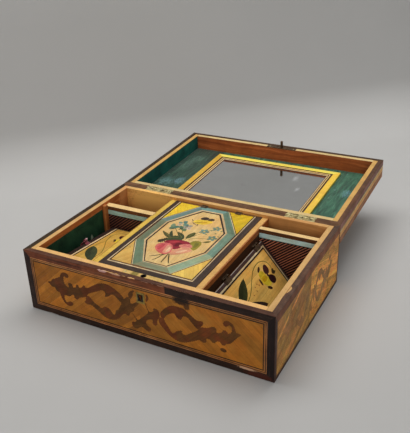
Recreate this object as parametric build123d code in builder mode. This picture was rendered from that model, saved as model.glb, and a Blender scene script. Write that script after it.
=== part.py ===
from build123d import *
import math
import os

os.makedirs("parts", exist_ok=True)

# Straw marquetry box, standing open. Millimetres, +X to the right, +Y to the
# back, +Z up. The origin is the middle of the base's underside. The big lid is
# folded back behind the base, as it stands on a table.

# ---------------------------------------------------------------- base sizes
W, D, H = 300.0, 200.0, 77.0      # outside of the base
TV = 0.6                          # straw veneer on the outside
TB = 0.5                          # dark banding on the rims
BOTTOM = 6.0                      # bottom board
HX, HY = W / 2, D / 2
CX, CY = HX - TV, HY - TV         # outside of the wooden carcass
XI, YI = 138.0, 88.0              # inner faces of the walls
XB, YB = 144.0, 94.0              # inner edge of the banding on the rims
LAP = 5.7                         # rebate of the corner joints
PAPER = 0.3                       # lining paper
DIV_TOP = 73.0                    # top of partitions and cross dividers

# partitions (front to back) and cross dividers (left and right compartments)
LP0, LP1 = -69.0, -61.5
RP0, RP1 = 57.5, 65.5
PART_DADO = 2.0
LC0, LC1 = 38.0, 47.0
RC0, RC1 = 59.5, 66.5
CROSS_DADO = 1.5
STRAW_TOP = 68.0                  # top of the straw facing on the cross dividers
TS = 0.4                          # straw on the small lids and dividers

# ---------------------------------------------------------------- main hinges
MAIN_X = (-94.5, 101.0)           # middle of each main hinge
HL = 37.0                         # length of a main hinge
HR = 1.5                          # knuckle radius
HPIN = 0.75                       # pin radius
HRUN = 0.80                       # bore of the lid's knuckles, running on the pin
HT = 1.0                          # leaf thickness
AXIS_Y = HY + 0.15
AXIS_Z = H + 0.10
OPEN_TILT = 2.3                   # the open lid stands this much above level

# ---------------------------------------------------------------- main lid
LID_H = 25.5                      # height of the lid's sides
LID_TOP = 4.5                     # thickness of its board
FRAME_X = 3.3                     # middle of the mirror frame
FRAME_HW = 95.2                   # half its width
FRAME_V0, FRAME_V1 = 27.5, 172.5  # its edges, measured from the hinge
RAIL = 16.0                       # width of a rail
RAIL_T = 4.0                      # thickness of a rail
RABBET = 2.2                      # how far a rail laps the glass
GLASS = 2.0

# ---------------------------------------------------------------- lock
LX = 2.0                          # middle of the lock
CATCH_Y = -91.1                   # where the catch pin comes down
CATCH_R = 1.9
CATCH_L = 10.0
CASE_X0, CASE_X1 = LX - 20.0, LX + 20.0
CASE_Z0 = 48.0
KEY_Z = 57.6                      # middle of the keyhole's round part
BOLT_THROW = 2.4

# ---------------------------------------------------------------- small lids
CL_X0, CL_X1 = LP1 + 0.3, RP0 - 0.3
CL_TOP = 73.4
CL_BOARD = 3.0
CL_AY = 86.4                      # hinge axis of the middle lid
CL_HINGE_X = (-20.0, 27.0)
SMALL_R = 0.8                     # knuckle radius of the small hinges
SMALL_PIN = 0.35
SMALL_RUN = 0.40
SB = 2.6                          # board of the side lids
LL_TILT = 5.4                     # the left lid lies lower at the back
LL_ORIGIN = (-70.9, 0.0, 48.4)
LL_W = 56.5
LL_Y0, LL_Y1 = -86.8, 35.2
LL_HINGE_Y = (-45.0, 12.0)
RL_SLOPE = 49.7                   # the right lid has dropped to the floor
RL_ORIGIN = (67.4, 0.0, 60.8)
RL_W = 68.5
RL_Y0, RL_Y1 = -87.0, 58.5
RL_HINGE_Y = (-35.0, 42.0)
SIDE_HL = 12.0                    # length of the side lids' hinges
MID_HL = 8.0                      # length of the middle lid's hinges

MITRE_GAP = 0.04                  # open joint left at each mitre

BASE = Plane.XY
_a = math.radians(OPEN_TILT)
# frame of the big lid: x along the hinge, y away from it, z out of its rim
LID = Plane(origin=(0, AXIS_Y, AXIS_Z), x_dir=(1, 0, 0), z_dir=(0, -math.sin(_a), math.cos(_a)))
_a = math.radians(LL_TILT)
LL = Plane(origin=LL_ORIGIN, x_dir=(1, 0, 0), z_dir=(0, math.sin(_a), math.cos(_a)))
_a = math.radians(RL_SLOPE)
RL = Plane(origin=RL_ORIGIN, x_dir=(math.cos(_a), 0, -math.sin(_a)), z_dir=(math.sin(_a), 0, math.cos(_a)))


def slab(plane, x0, x1, y0, y1, z0, z1, mode=Mode.ADD):
    """A rectangular board between two corners given in a plane's own axes."""
    with BuildSketch(plane.offset(z0)) as profile:
        with Locations(((x0 + x1) / 2, (y0 + y1) / 2)):
            Rectangle(x1 - x0, y1 - y0)
    extrude(profile.sketch, amount=z1 - z0, mode=mode)


def ring(plane, ox, oy0, oy1, ix, iy0, iy1, z0, z1, mode=Mode.ADD):
    """Four mitred strips that lie round a rim."""
    corners = [(-ox, oy0), (ox, oy0), (ox, oy1), (-ox, oy1)]
    inner = [(-ix, iy0), (ix, iy0), (ix, iy1), (-ix, iy1)]
    mitred(plane, corners, inner, z0, z1, mode)


def mitred(plane, corners, inner, z0, z1, mode=Mode.ADD):
    """Four strips with mitred ends, a hair apart at each joint."""
    for i in range(4):
        j = (i + 1) % 4
        (ax, ay), (bx, by) = corners[i], corners[j]
        run = math.hypot(bx - ax, by - ay)
        ux, uy = (bx - ax) / run * MITRE_GAP, (by - ay) / run * MITRE_GAP
        (cx, cy), (dx, dy) = inner[j], inner[i]
        with BuildSketch(plane.offset(z0)) as profile:
            with BuildLine():
                Polyline((ax + ux, ay + uy), (bx - ux, by - uy), (cx - ux, cy - uy), (dx + ux, dy + uy), close=True)
            make_face()
        extrude(profile.sketch, amount=z1 - z0, mode=mode)


def rod(plane, r, length, mode=Mode.ADD, at=(0, 0)):
    """A round bar that starts on a plane."""
    with BuildSketch(plane) as profile:
        with Locations(at):
            Circle(r)
    extrude(profile.sketch, amount=length, mode=mode)


def across_x(frame, x, y=0.0, z=0.0):
    """A plane that looks along a frame's own x axis, at a point of that frame."""
    o = frame.from_local_coords(Vector(x, y, z))
    return Plane(origin=o, x_dir=frame.y_dir, z_dir=frame.x_dir)


def across_y(frame, x, y, z=0.0):
    """A plane that looks along a frame's own y axis, at a point of that frame."""
    o = frame.from_local_coords(Vector(x, y, z))
    return Plane(origin=o, x_dir=frame.x_dir * -1, z_dir=frame.y_dir)


def out(part, name):
    part.part.label = name
    export_step(part.part, "parts/" + name + ".step")


NAIL_R, NAIL_HEAD, NAIL_HEAD_T, NAIL_L = 0.6, 1.1, 0.4, 8.0
# nails of the main hinges' leaves, two rows of three; of the lock's selvedge; of the catch plate
BASE_NAILS = [(hx + dx, YB + 2.3) for hx in MAIN_X for dx in (-14.0, 0.0, 14.0)]
LOCK_NAILS = [(LX - 22.0, -91.0), (LX + 22.0, -91.0)]
LID_HINGE_NAILS = [(hx + dx, 3.85) for hx in MAIN_X for dx in (-14.0, 0.0, 14.0)]
LID_CATCH_NAILS = [(LX - 18.5, 191.4), (LX + 18.5, 191.4)]


def nail_holes(plane, spots, top):
    """Holes for the brass nails, with a seat for each flush head."""
    for r, depth in ((NAIL_R, NAIL_L), (NAIL_HEAD, NAIL_HEAD_T)):
        with BuildSketch(plane.offset(top - depth)) as profile:
            with Locations(*spots):
                Circle(r)
        extrude(profile.sketch, amount=depth, mode=Mode.SUBTRACT)


def nails(plane, spots, top):
    with BuildSketch(plane.offset(top - NAIL_L)) as profile:
        with Locations(*spots):
            Circle(NAIL_R)
    extrude(profile.sketch, amount=NAIL_L)
    with BuildSketch(plane.offset(top - NAIL_HEAD_T)) as profile:
        with Locations(*spots):
            Circle(NAIL_HEAD)
    extrude(profile.sketch, amount=NAIL_HEAD_T)


# ============================================================ base carcass
with BuildPart() as bottom_board:
    slab(BASE, -CX, CX, -CY, CY, 0, BOTTOM)
out(bottom_board, "bottom_board")


def end_board(side):
    """Front (side -1) or back (side +1) board: rebated ends, dadoes, rim step."""
    def y(a, b):
        return (side * a, side * b) if side > 0 else (side * b, side * a)

    slab(BASE, -CX, CX, *y(YI, CY), BOTTOM, H)
    for s in (-1, 1):
        x0, x1 = (XI, CX) if s > 0 else (-CX, -XI)
        slab(BASE, x0, x1, *y(YI, YI + LAP), BOTTOM, H, Mode.SUBTRACT)
        x0, x1 = (XB, CX) if s > 0 else (-CX, -XB)
        slab(BASE, x0, x1, *y(YI, CY), H - TB, H, Mode.SUBTRACT)
    slab(BASE, -CX, CX, *y(YB, CY), H - TB, H, Mode.SUBTRACT)
    slab(BASE, LP0, LP1, *y(YI, YI + PART_DADO), BOTTOM, DIV_TOP, Mode.SUBTRACT)
    slab(BASE, RP0, RP1, *y(YI, YI + PART_DADO), BOTTOM, DIV_TOP, Mode.SUBTRACT)


def keyhole(plane, length, grow=0.0):
    """Round hole with a slot below it, seen from the front. Local y is up."""
    with BuildSketch(plane) as profile:
        with Locations((LX, KEY_Z)):
            Circle(2.3 + grow)
        with Locations((LX, KEY_Z - 2.9)):
            Rectangle(2.2 + 2 * grow, 5.8 + 2 * grow)
    extrude(profile.sketch, amount=length, mode=Mode.SUBTRACT)


def facing_front(y):
    """A plane at depth y whose x is the box's x, whose y is up and whose normal points forward."""
    return Plane(origin=(0, y, 0), x_dir=(1, 0, 0), z_dir=(0, -1, 0))


with BuildPart() as front_board:
    end_board(-1)
    slab(BASE, CASE_X0, CASE_X1, -YB, -YI, CASE_Z0, H - HT, Mode.SUBTRACT)
    slab(BASE, LX - 25, LX + 25, -YB, -YI, H - HT, H, Mode.SUBTRACT)
    keyhole(facing_front(-YB), CY - YB, 0.2)
    nail_holes(BASE, LOCK_NAILS, H)
out(front_board, "front_board")

with BuildPart() as back_board:
    end_board(1)
    for hx in MAIN_X:
        slab(BASE, hx - HL / 2, hx + HL / 2, YB, CY, H - HT, H, Mode.SUBTRACT)
        slab(BASE, hx - HL / 2 - 0.3, hx + HL / 2 + 0.3, AXIS_Y - HR - 0.45, CY, AXIS_Z - HR - 0.5, H, Mode.SUBTRACT)
    nail_holes(BASE, BASE_NAILS, H)
out(back_board, "back_board")


def side_board(s, c0, c1):
    """Left (s -1) or right (s +1) board between the front and back ones."""
    def x(a, b):
        return (a, b) if s > 0 else (-b, -a)

    slab(BASE, *x(XI, CX), -YI - LAP, YI + LAP, BOTTOM, H)
    slab(BASE, *x(XB, CX), -YI - LAP, YI + LAP, H - TB, H, Mode.SUBTRACT)
    slab(BASE, *x(XI, XI + CROSS_DADO), c0, c1, BOTTOM, DIV_TOP, Mode.SUBTRACT)


with BuildPart() as left_board:
    side_board(-1, LC0, LC1)
out(left_board, "left_board")

with BuildPart() as right_board:
    side_board(1, RC0, RC1)
out(right_board, "right_board")

with BuildPart() as base_rim_banding:
    ring(BASE, HX, -HY, HY, XB, -YB, YB, H - TB, H)
    for hx in MAIN_X:
        slab(BASE, hx - HL / 2, hx + HL / 2, YB, HY, H - TB, H, Mode.SUBTRACT)
        slab(BASE, hx - HL / 2 - 0.3, hx + HL / 2 + 0.3, AXIS_Y - HR - 0.45, HY, H - TB, H, Mode.SUBTRACT)
out(base_rim_banding, "base_rim_banding")

# straw marquetry glued on the four outer faces
with BuildPart() as front_straw_panel:
    slab(BASE, -CX, CX, -HY, -CY, 0, H - TB)
    slab(BASE, LX - 5.0, LX + 5.0, -HY, -CY, 49.0, 62.0, Mode.SUBTRACT)
out(front_straw_panel, "front_straw_panel")

with BuildPart() as back_straw_panel:
    slab(BASE, -CX, CX, CY, HY, 0, H - TB)
    for hx in MAIN_X:
        slab(BASE, hx - HL / 2 - 0.3, hx + HL / 2 + 0.3, CY, HY, AXIS_Z - HR - 0.5, H - TB, Mode.SUBTRACT)
out(back_straw_panel, "back_straw_panel")

with BuildPart() as left_straw_panel:
    slab(BASE, -HX, -CX, -HY, HY, 0, H - TB)
out(left_straw_panel, "left_straw_panel")

with BuildPart() as right_straw_panel:
    slab(BASE, CX, HX, -HY, HY, 0, H - TB)
out(right_straw_panel, "right_straw_panel")

# ============================================================ inside of the base
with BuildPart() as left_partition:
    slab(BASE, LP0, LP1, -YI - PART_DADO, YI + PART_DADO, BOTTOM, DIV_TOP)
    slab(BASE, LP0, LP0 + CROSS_DADO, LC0, LC1, BOTTOM, DIV_TOP, Mode.SUBTRACT)
out(left_partition, "left_partition")

with BuildPart() as right_partition:
    slab(BASE, RP0, RP1, -YI - PART_DADO, YI + PART_DADO, BOTTOM, DIV_TOP)
    slab(BASE, RP1 - CROSS_DADO, RP1, RC0, RC1, BOTTOM, DIV_TOP, Mode.SUBTRACT)
out(right_partition, "right_partition")

with BuildPart() as left_cross_divider:
    slab(BASE, -XI - CROSS_DADO, LP0 + CROSS_DADO, LC0, LC1, BOTTOM, DIV_TOP)
out(left_cross_divider, "left_cross_divider")

with BuildPart() as right_cross_divider:
    slab(BASE, RP1 - CROSS_DADO, XI + CROSS_DADO, RC0, RC1, BOTTOM, DIV_TOP)
out(right_cross_divider, "right_cross_divider")

with BuildPart() as left_cross_straw:
    slab(BASE, -XI, LP0, LC0 - TS, LC0, BOTTOM, STRAW_TOP)
out(left_cross_straw, "left_cross_straw")

with BuildPart() as right_cross_straw:
    slab(BASE, RP1, XI, RC0 - TS, RC0, BOTTOM, STRAW_TOP)
out(right_cross_straw, "right_cross_straw")

# lining papers: floor, wall, front and partition faces of each compartment
G = 0.1
with BuildPart() as left_compartment_paper:
    slab(BASE, -XI, LP0, -YI, LC0 - TS, BOTTOM, BOTTOM + PAPER)
    slab(BASE, -XI, -XI + PAPER, -83.0, 31.5, BOTTOM + PAPER + G, 70.0)
    slab(BASE, -XI + 5.0, LP0 - 5.0, -YI, -YI + PAPER, BOTTOM + PAPER + G, 70.0)
    slab(BASE, LP0 - PAPER, LP0, -83.0, 34.0, BOTTOM + PAPER + G, 67.0)
out(left_compartment_paper, "left_compartment_paper")

with BuildPart() as right_compartment_paper:
    slab(BASE, RP1, XI, -YI, RC0 - TS, BOTTOM, BOTTOM + PAPER)
    slab(BASE, XI - PAPER, XI, -83.0, 54.0, BOTTOM + PAPER + G, 70.0)
    slab(BASE, RP1 + 5.0, XI - 5.0, -YI, -YI + PAPER, BOTTOM + PAPER + G, 70.0)
    slab(BASE, RP1, RP1 + PAPER, -87.5, 58.6, BOTTOM + PAPER + G, 67.0)
out(right_compartment_paper, "right_compartment_paper")

with BuildPart() as centre_compartment_paper:
    slab(BASE, LP1, RP0, -YI, YI, BOTTOM, BOTTOM + PAPER)
    slab(BASE, LP1, LP1 + PAPER, -YI + 0.5, YI - 0.5, BOTTOM + PAPER + G, 64.5)
    slab(BASE, RP0 - PAPER, RP0, -YI + 0.5, YI - 0.5, BOTTOM + PAPER + G, 64.5)
    slab(BASE, LP1 + 0.5, RP0 - 0.5, YI - PAPER, YI, BOTTOM + PAPER + G, 64.5)
    slab(BASE, LP1 + 0.5, RP0 - 0.5, -YI, -YI + PAPER, BOTTOM + PAPER + G, 46.0)
out(centre_compartment_paper, "centre_compartment_paper")

# ledges that carry the middle lid, and corner posts that carry the left lid
with BuildPart() as centre_lid_ledges:
    slab(BASE, LP1, LP1 + 4.0, -YI, YI, 65.0, 69.7)
    slab(BASE, RP0 - 4.0, RP0, -YI, YI, 65.0, 69.7)
out(centre_lid_ledges, "centre_lid_ledges")

with BuildPart() as left_lid_posts:
    slab(BASE, -134.0, -124.0, -YI + PAPER, -YI + 6.0, BOTTOM + PAPER, 52.6)
    slab(BASE, -133.5, -124.0, LC0 - TS - 5.6, LC0 - TS, BOTTOM + PAPER, 41.6)
    slab(BASE, -XI, -133.5, LC0 - TS - 5.6, LC0 - TS, BOTTOM + PAPER, 75.0)
out(left_lid_posts, "left_lid_posts")

# ============================================================ main hinges
SEG = HL / 5


def knuckles(frame, hx, which, bore):
    """The barrels of one leaf, on the hinge's own axis."""
    for k in which:
        g0 = 0.0 if k == 0 else 0.15
        g1 = 0.0 if k == 4 else 0.15
        x0 = hx - HL / 2 + SEG * k + g0
        p = across_x(frame, x0)
        rod(p, HR, SEG - g0 - g1)
        rod(p, bore, SEG - g0 - g1, Mode.SUBTRACT)


AXIS = Plane(origin=(0, AXIS_Y, AXIS_Z), x_dir=(1, 0, 0), z_dir=(0, 0, 1))
with BuildPart() as main_hinge_base_leaves:
    for hx in MAIN_X:
        slab(BASE, hx - HL / 2, hx + HL / 2, YB, AXIS_Y - HR - 0.3, H - HT, H)
        for k in (0, 2, 4):
            g0 = 0.0 if k == 0 else 0.15
            g1 = 0.0 if k == 4 else 0.15
            slab(BASE, hx - HL / 2 + SEG * k + g0, hx - HL / 2 + SEG * (k + 1) - g1, YB, AXIS_Y, H - HT, H)
        # pierced work between the nails
        with BuildSketch(BASE.offset(H - HT)) as profile:
            with Locations((hx - 7.0, YB + 2.3), (hx + 7.0, YB + 2.3)):
                SlotOverall(8.0, 1.8)
        extrude(profile.sketch, amount=HT, mode=Mode.SUBTRACT)
        knuckles(AXIS, hx, (0, 2, 4), HPIN)
    nail_holes(BASE, BASE_NAILS, H)
out(main_hinge_base_leaves, "main_hinge_base_leaves")

with BuildPart() as main_hinge_pins:
    for hx in MAIN_X:
        rod(across_x(AXIS, hx - HL / 2), HPIN, HL)
out(main_hinge_pins, "main_hinge_pins")

with BuildPart() as main_hinge_lid_leaves:
    for hx in MAIN_X:
        slab(LID, hx - HL / 2, hx + HL / 2, HR + 0.3, 6.15, -0.1 - HT, -0.1)
        for k in (1, 3):
            slab(LID, hx - HL / 2 + SEG * k + 0.15, hx - HL / 2 + SEG * (k + 1) - 0.15, 0.0, 6.15, -0.1 - HT, -0.1)
        with BuildSketch(LID.offset(-0.1 - HT)) as profile:
            with Locations((hx - 7.0, 3.85), (hx + 7.0, 3.85)):
                SlotOverall(8.0, 1.8)
        extrude(profile.sketch, amount=HT, mode=Mode.SUBTRACT)
        knuckles(LID, hx, (1, 3), HRUN)
    nail_holes(LID, LID_HINGE_NAILS, -0.1)
out(main_hinge_lid_leaves, "main_hinge_lid_leaves")

with BuildPart() as base_nails:
    nails(BASE, BASE_NAILS, H)
    nails(BASE, LOCK_NAILS, H)
out(base_nails, "base_nails")

with BuildPart() as lid_nails:
    nails(LID, LID_HINGE_NAILS, -0.1)
    nails(LID, LID_CATCH_NAILS, -0.1)
out(lid_nails, "lid_nails")

# ============================================================ lock
CASE_T = 0.8
with BuildPart() as lock_case:
    slab(BASE, LX - 25, LX + 25, -YB, -YI, H - HT, H)
    slab(BASE, CASE_X0, CASE_X1, -YB, -YI, CASE_Z0, H - HT)
    slab(BASE, CASE_X0 + CASE_T, CASE_X1 - CASE_T, -YB, -YI - CASE_T, CASE_Z0 + CASE_T, H - HT, Mode.SUBTRACT)
    rod(BASE.offset(H - HT), 2.5, HT, Mode.SUBTRACT, at=(LX, CATCH_Y))
    # two studs under the bolt
    for x in (-13.5, -1.5):
        rod(Plane(origin=(x, -YI - CASE_T, 68.3), x_dir=(1, 0, 0), z_dir=(0, -1, 0)), 0.8, 4.2)
    nail_holes(BASE, LOCK_NAILS, H)
out(lock_case, "lock_case")

with BuildPart() as lock_cap:
    slab(BASE, CASE_X0 + CASE_T, CASE_X1 - CASE_T, -YB, -YB + 0.5, CASE_Z0 + CASE_T, H - HT)
    keyhole(facing_front(-YB + 0.5), 0.5, 0.2)
out(lock_cap, "lock_cap")

with BuildPart() as lock_key_post:
    rod(Plane(origin=(LX, -YI - CASE_T, KEY_Z), x_dir=(1, 0, 0), z_dir=(0, -1, 0)), 0.9, 5.6)
out(lock_key_post, "lock_key_post")

with BuildPart() as lock_bolt:
    slab(BASE, -15.5, -4.0, -92.8, -89.4, 69.6, 72.6)
    slab(BASE, -4.0, -0.4, CATCH_Y - 0.9, CATCH_Y + 0.9, 69.6, 72.6)
    slab(BASE, -11.5, -6.0, -92.8, -89.4, 63.5, 69.6)
    # notch that the key's bit turns in
    rod(Plane(origin=(-8.75, -89.4, 63.5), x_dir=(1, 0, 0), z_dir=(0, -1, 0)), 1.8, 3.4, Mode.SUBTRACT)
out(lock_bolt, "lock_bolt")

with BuildPart() as lock_spring:
    with BuildSketch(facing_front(-89.8)) as profile:
        with BuildLine():
            Polyline((CASE_X0 + CASE_T, 75.2), (-9.0, 73.2), (-3.0, 74.2), (-3.0, 74.6), (-9.0, 73.6), (CASE_X0 + CASE_T, 75.6), close=True)
        make_face()
    extrude(profile.sketch, amount=2.6)
out(lock_spring, "lock_spring")

with BuildPart() as keyhole_escutcheon:
    with BuildSketch(facing_front(-CY)) as profile:
        with Locations((LX, 55.5)):
            RectangleRounded(10.0, 13.0, 0.05)
    extrude(profile.sketch, amount=TV + 0.2)
    keyhole(facing_front(-CY), TV + 0.2)
out(keyhole_escutcheon, "keyhole_escutcheon")

# ============================================================ small hinges
def small_knuckles(frame, length, which, bore, along_x=True, at=0.0):
    """Barrels of a small three-knuckle hinge, on the x or y axis of a frame."""
    seg = length / 3
    for k in which:
        g0 = 0.0 if k == 0 else 0.15
        g1 = 0.0 if k == 2 else 0.15
        s = at - length / 2 + seg * k + g0
        p = across_x(frame, s) if along_x else across_y(frame, 0, s)
        rod(p, SMALL_R, seg - g0 - g1)
        rod(p, bore, seg - g0 - g1, Mode.SUBTRACT)


CL = Plane(origin=(0, CL_AY, CL_TOP), x_dir=(1, 0, 0), z_dir=(0, 0, 1))


def spans(length, which, at):
    seg = length / 3
    for k in which:
        g0 = 0.0 if k == 0 else 0.15
        g1 = 0.0 if k == 2 else 0.15
        yield at - length / 2 + seg * k + g0, at - length / 2 + seg * (k + 1) - g1


with BuildPart() as inner_hinge_fixed_leaves:
    for hx in CL_HINGE_X:
        slab(CL, hx - MID_HL / 2, hx + MID_HL / 2, YI - CL_AY - 0.5, YI - CL_AY, -4.0, 1.0)
        for a, b in spans(MID_HL, (0, 2), hx):
            slab(CL, a, b, 0.0, YI - CL_AY - 0.2, -0.5, 0.5)
        small_knuckles(CL, MID_HL, (0, 2), SMALL_PIN, at=hx)
    gap = LP0 - PAPER - LL_ORIGIN[0]
    for hy in LL_HINGE_Y:
        slab(LL, gap - 0.5, gap, hy - SIDE_HL / 2, hy + SIDE_HL / 2, -5.0, 1.0)
        for a, b in spans(SIDE_HL, (0, 2), hy):
            slab(LL, 0.0, gap - 0.2, a, b, -0.5, 0.5)
        small_knuckles(LL, SIDE_HL, (0, 2), SMALL_PIN, along_x=False, at=hy)
    gap = RL_ORIGIN[0] - RP1 - PAPER
    RF = Plane(origin=RL_ORIGIN, x_dir=(1, 0, 0), z_dir=(0, 0, 1))
    for hy in RL_HINGE_Y:
        slab(RF, -gap, -gap + 0.5, hy - SIDE_HL / 2, hy + SIDE_HL / 2, -5.0, 1.0)
        for a, b in spans(SIDE_HL, (0, 2), hy):
            slab(RF, -gap + 0.2, 0.0, a, b, -0.5, 0.5)
        small_knuckles(RF, SIDE_HL, (0, 2), SMALL_PIN, along_x=False, at=hy)
out(inner_hinge_fixed_leaves, "inner_hinge_fixed_leaves")

with BuildPart() as inner_hinge_pins:
    for hx in CL_HINGE_X:
        rod(across_x(CL, hx - MID_HL / 2), SMALL_PIN, MID_HL)
    for hy in LL_HINGE_Y:
        rod(across_y(LL, 0, hy - SIDE_HL / 2), SMALL_PIN, SIDE_HL)
    for hy in RL_HINGE_Y:
        rod(across_y(RF, 0, hy - SIDE_HL / 2), SMALL_PIN, SIDE_HL)
out(inner_hinge_pins, "inner_hinge_pins")

# ============================================================ middle lid
with BuildPart() as centre_lid_board:
    slab(BASE, CL_X0, CL_X1, -YI + 0.4, YI - 0.4, CL_TOP - TS - CL_BOARD, CL_TOP - TS)
    for hx in CL_HINGE_X:
        slab(BASE, hx - 4.6, hx + 4.6, CL_AY - 1.4, YI, CL_TOP - TS - CL_BOARD, CL_TOP, Mode.SUBTRACT)
out(centre_lid_board, "centre_lid_board")

with BuildPart() as centre_lid_straw:
    slab(BASE, CL_X0, CL_X1, -YI + 0.4, YI - 0.4, CL_TOP - TS, CL_TOP)
    for hx in CL_HINGE_X:
        slab(BASE, hx - 4.6, hx + 4.6, CL_AY - 1.4, YI, CL_TOP - TS, CL_TOP, Mode.SUBTRACT)
out(centre_lid_straw, "centre_lid_straw")

with BuildPart() as centre_hinge_lid_leaves:
    for hx in CL_HINGE_X:
        slab(CL, hx - MID_HL / 2, hx + MID_HL / 2, -4.4, -1.4, 0.0, 0.5)
        for a, b in spans(MID_HL, (1,), hx):
            slab(CL, a, b, -1.4, 0.0, -0.5, 0.5)
        small_knuckles(CL, MID_HL, (1,), SMALL_RUN, at=hx)
out(centre_hinge_lid_leaves, "centre_hinge_lid_leaves")

# ============================================================ left lid
with BuildPart() as left_lid_board:
    slab(LL, -LL_W, -2.0, LL_Y0, LL_Y1, -TS - SB, -TS)
out(left_lid_board, "left_lid_board")

with BuildPart() as left_lid_straw:
    slab(LL, -LL_W, -2.0, LL_Y0, LL_Y1, -TS, 0.0)
out(left_lid_straw, "left_lid_straw")

with BuildPart() as left_hinge_lid_leaves:
    for hy in LL_HINGE_Y:
        slab(LL, -7.0, -2.0, hy - SIDE_HL / 2, hy + SIDE_HL / 2, 0.0, 0.5)
        for a, b in spans(SIDE_HL, (1,), hy):
            slab(LL, -2.0, 0.0, a, b, -0.5, 0.5)
        small_knuckles(LL, SIDE_HL, (1,), SMALL_RUN, along_x=False, at=hy)
out(left_hinge_lid_leaves, "left_hinge_lid_leaves")

# silk pull on the free edge of the left lid: a folded ribbon, as one soft block
with BuildPart() as left_lid_pull:
    with BuildSketch(across_y(LL, 0, -26.0)) as profile:
        with BuildLine():
            Polyline((50.5, 0.0), (LL_W, 0.0), (LL_W, -3.0), (LL_W + 1.2, -3.0), (LL_W + 4.5, 2.5), (LL_W + 3.5, 6.5), (LL_W - 1.0, 5.5), (50.5, 1.2), close=True)
        make_face()
    extrude(profile.sketch, amount=8.0)
out(left_lid_pull, "left_lid_pull")

# ============================================================ right lid
with BuildPart() as right_lid_board:
    slab(RL, 2.3, RL_W, RL_Y0, RL_Y1, -TS - SB, -TS)
out(right_lid_board, "right_lid_board")

with BuildPart() as right_lid_straw:
    slab(RL, 2.3, RL_W, RL_Y0, RL_Y1, -TS, 0.0)
out(right_lid_straw, "right_lid_straw")

with BuildPart() as right_hinge_lid_leaves:
    for hy in RL_HINGE_Y:
        slab(RL, 2.3, 7.3, hy - SIDE_HL / 2, hy + SIDE_HL / 2, 0.0, 0.5)
        for a, b in spans(SIDE_HL, (1,), hy):
            slab(RL, 0.0, 2.3, a, b, -0.5, 0.5)
        small_knuckles(RL, SIDE_HL, (1,), SMALL_RUN, along_x=False, at=hy)
out(right_hinge_lid_leaves, "right_hinge_lid_leaves")

# ============================================================ big lid
V0, V1 = 0.15, 0.15 + D           # its hinge side and its free side, from the axis
VC0, VC1 = V0 + TV, V1 - TV
VB0, VB1 = V0 + 6.0, V1 - 6.0
VI0, VI1 = V0 + 12.0, V1 - 12.0
RIM = -0.1
FLOOR = RIM - LID_H + 0.5 + LID_TOP
OUT = RIM - LID_H

with BuildPart() as lid_top_board:
    slab(LID, -CX, CX, VC0, VC1, OUT + 0.5, FLOOR)
out(lid_top_board, "lid_top_board")


def lid_end_board(v_in, v_lap, v_band, v_out):
    lo, hi = sorted((v_in, v_out))
    slab(LID, -CX, CX, lo, hi, FLOOR, RIM)
    for x0, x1, b0, b1 in ((XI, CX, XB, CX), (-CX, -XI, -CX, -XB)):
        slab(LID, x0, x1, *sorted((v_in, v_lap)), FLOOR, RIM, Mode.SUBTRACT)
        slab(LID, b0, b1, lo, hi, RIM - TB, RIM, Mode.SUBTRACT)
    slab(LID, -CX, CX, *sorted((v_band, v_out)), RIM - TB, RIM, Mode.SUBTRACT)


with BuildPart() as lid_back_board:
    lid_end_board(VI0, VI0 - LAP, VB0, VC0)
    for hx in MAIN_X:
        slab(LID, hx - HL / 2, hx + HL / 2, VC0, VB0, RIM - HT, RIM, Mode.SUBTRACT)
        slab(LID, hx - HL / 2 - 0.3, hx + HL / 2 + 0.3, VC0, HR + 0.45, -HR - 0.6, RIM, Mode.SUBTRACT)
    nail_holes(LID, LID_HINGE_NAILS, RIM)
out(lid_back_board, "lid_back_board")

with BuildPart() as lid_front_board:
    lid_end_board(VI1, VI1 + LAP, VB1, VC1)
    slab(LID, LX - 22.5, LX + 22.5, VI1, VB1 + 1.0, RIM - HT, RIM, Mode.SUBTRACT)
    nail_holes(LID, LID_CATCH_NAILS, RIM)
out(lid_front_board, "lid_front_board")


def lid_side_board(x0, x1, b0, b1):
    slab(LID, x0, x1, VI0 - LAP, VI1 + LAP, FLOOR, RIM)
    slab(LID, b0, b1, VI0 - LAP, VI1 + LAP, RIM - TB, RIM, Mode.SUBTRACT)


with BuildPart() as lid_left_board:
    lid_side_board(-CX, -XI, -CX, -XB)
out(lid_left_board, "lid_left_board")

with BuildPart() as lid_right_board:
    lid_side_board(XI, CX, XB, CX)
out(lid_right_board, "lid_right_board")

with BuildPart() as lid_rim_banding:
    ring(LID, HX, V0, V1, XB, VB0, VB1, RIM - TB, RIM)
    for hx in MAIN_X:
        slab(LID, hx - HL / 2, hx + HL / 2, V0, VB0, RIM - TB, RIM, Mode.SUBTRACT)
        slab(LID, hx - HL / 2 - 0.3, hx + HL / 2 + 0.3, V0, HR + 0.45, RIM - TB, RIM, Mode.SUBTRACT)
    slab(LID, LX - 22.5, LX + 22.5, VB1, VB1 + 1.0, RIM - TB, RIM, Mode.SUBTRACT)
out(lid_rim_banding, "lid_rim_banding")

with BuildPart() as lid_side_straw:
    slab(LID, -CX + MITRE_GAP, CX - MITRE_GAP, VC1, V1, OUT, RIM - TB)
    slab(LID, -CX + MITRE_GAP, CX - MITRE_GAP, V0, VC0, OUT, RIM - TB)
    for hx in MAIN_X:
        slab(LID, hx - HL / 2 - 0.3, hx + HL / 2 + 0.3, V0, VC0, -HR - 0.6, RIM, Mode.SUBTRACT)
    slab(LID, -HX, -CX, V0, V1, OUT, RIM - TB)
    slab(LID, CX, HX, V0, V1, OUT, RIM - TB)
out(lid_side_straw, "lid_side_straw")

with BuildPart() as lid_top_straw:
    slab(LID, -CX, CX, VC0, VC1, OUT, OUT + 0.5)
out(lid_top_straw, "lid_top_straw")

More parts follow.
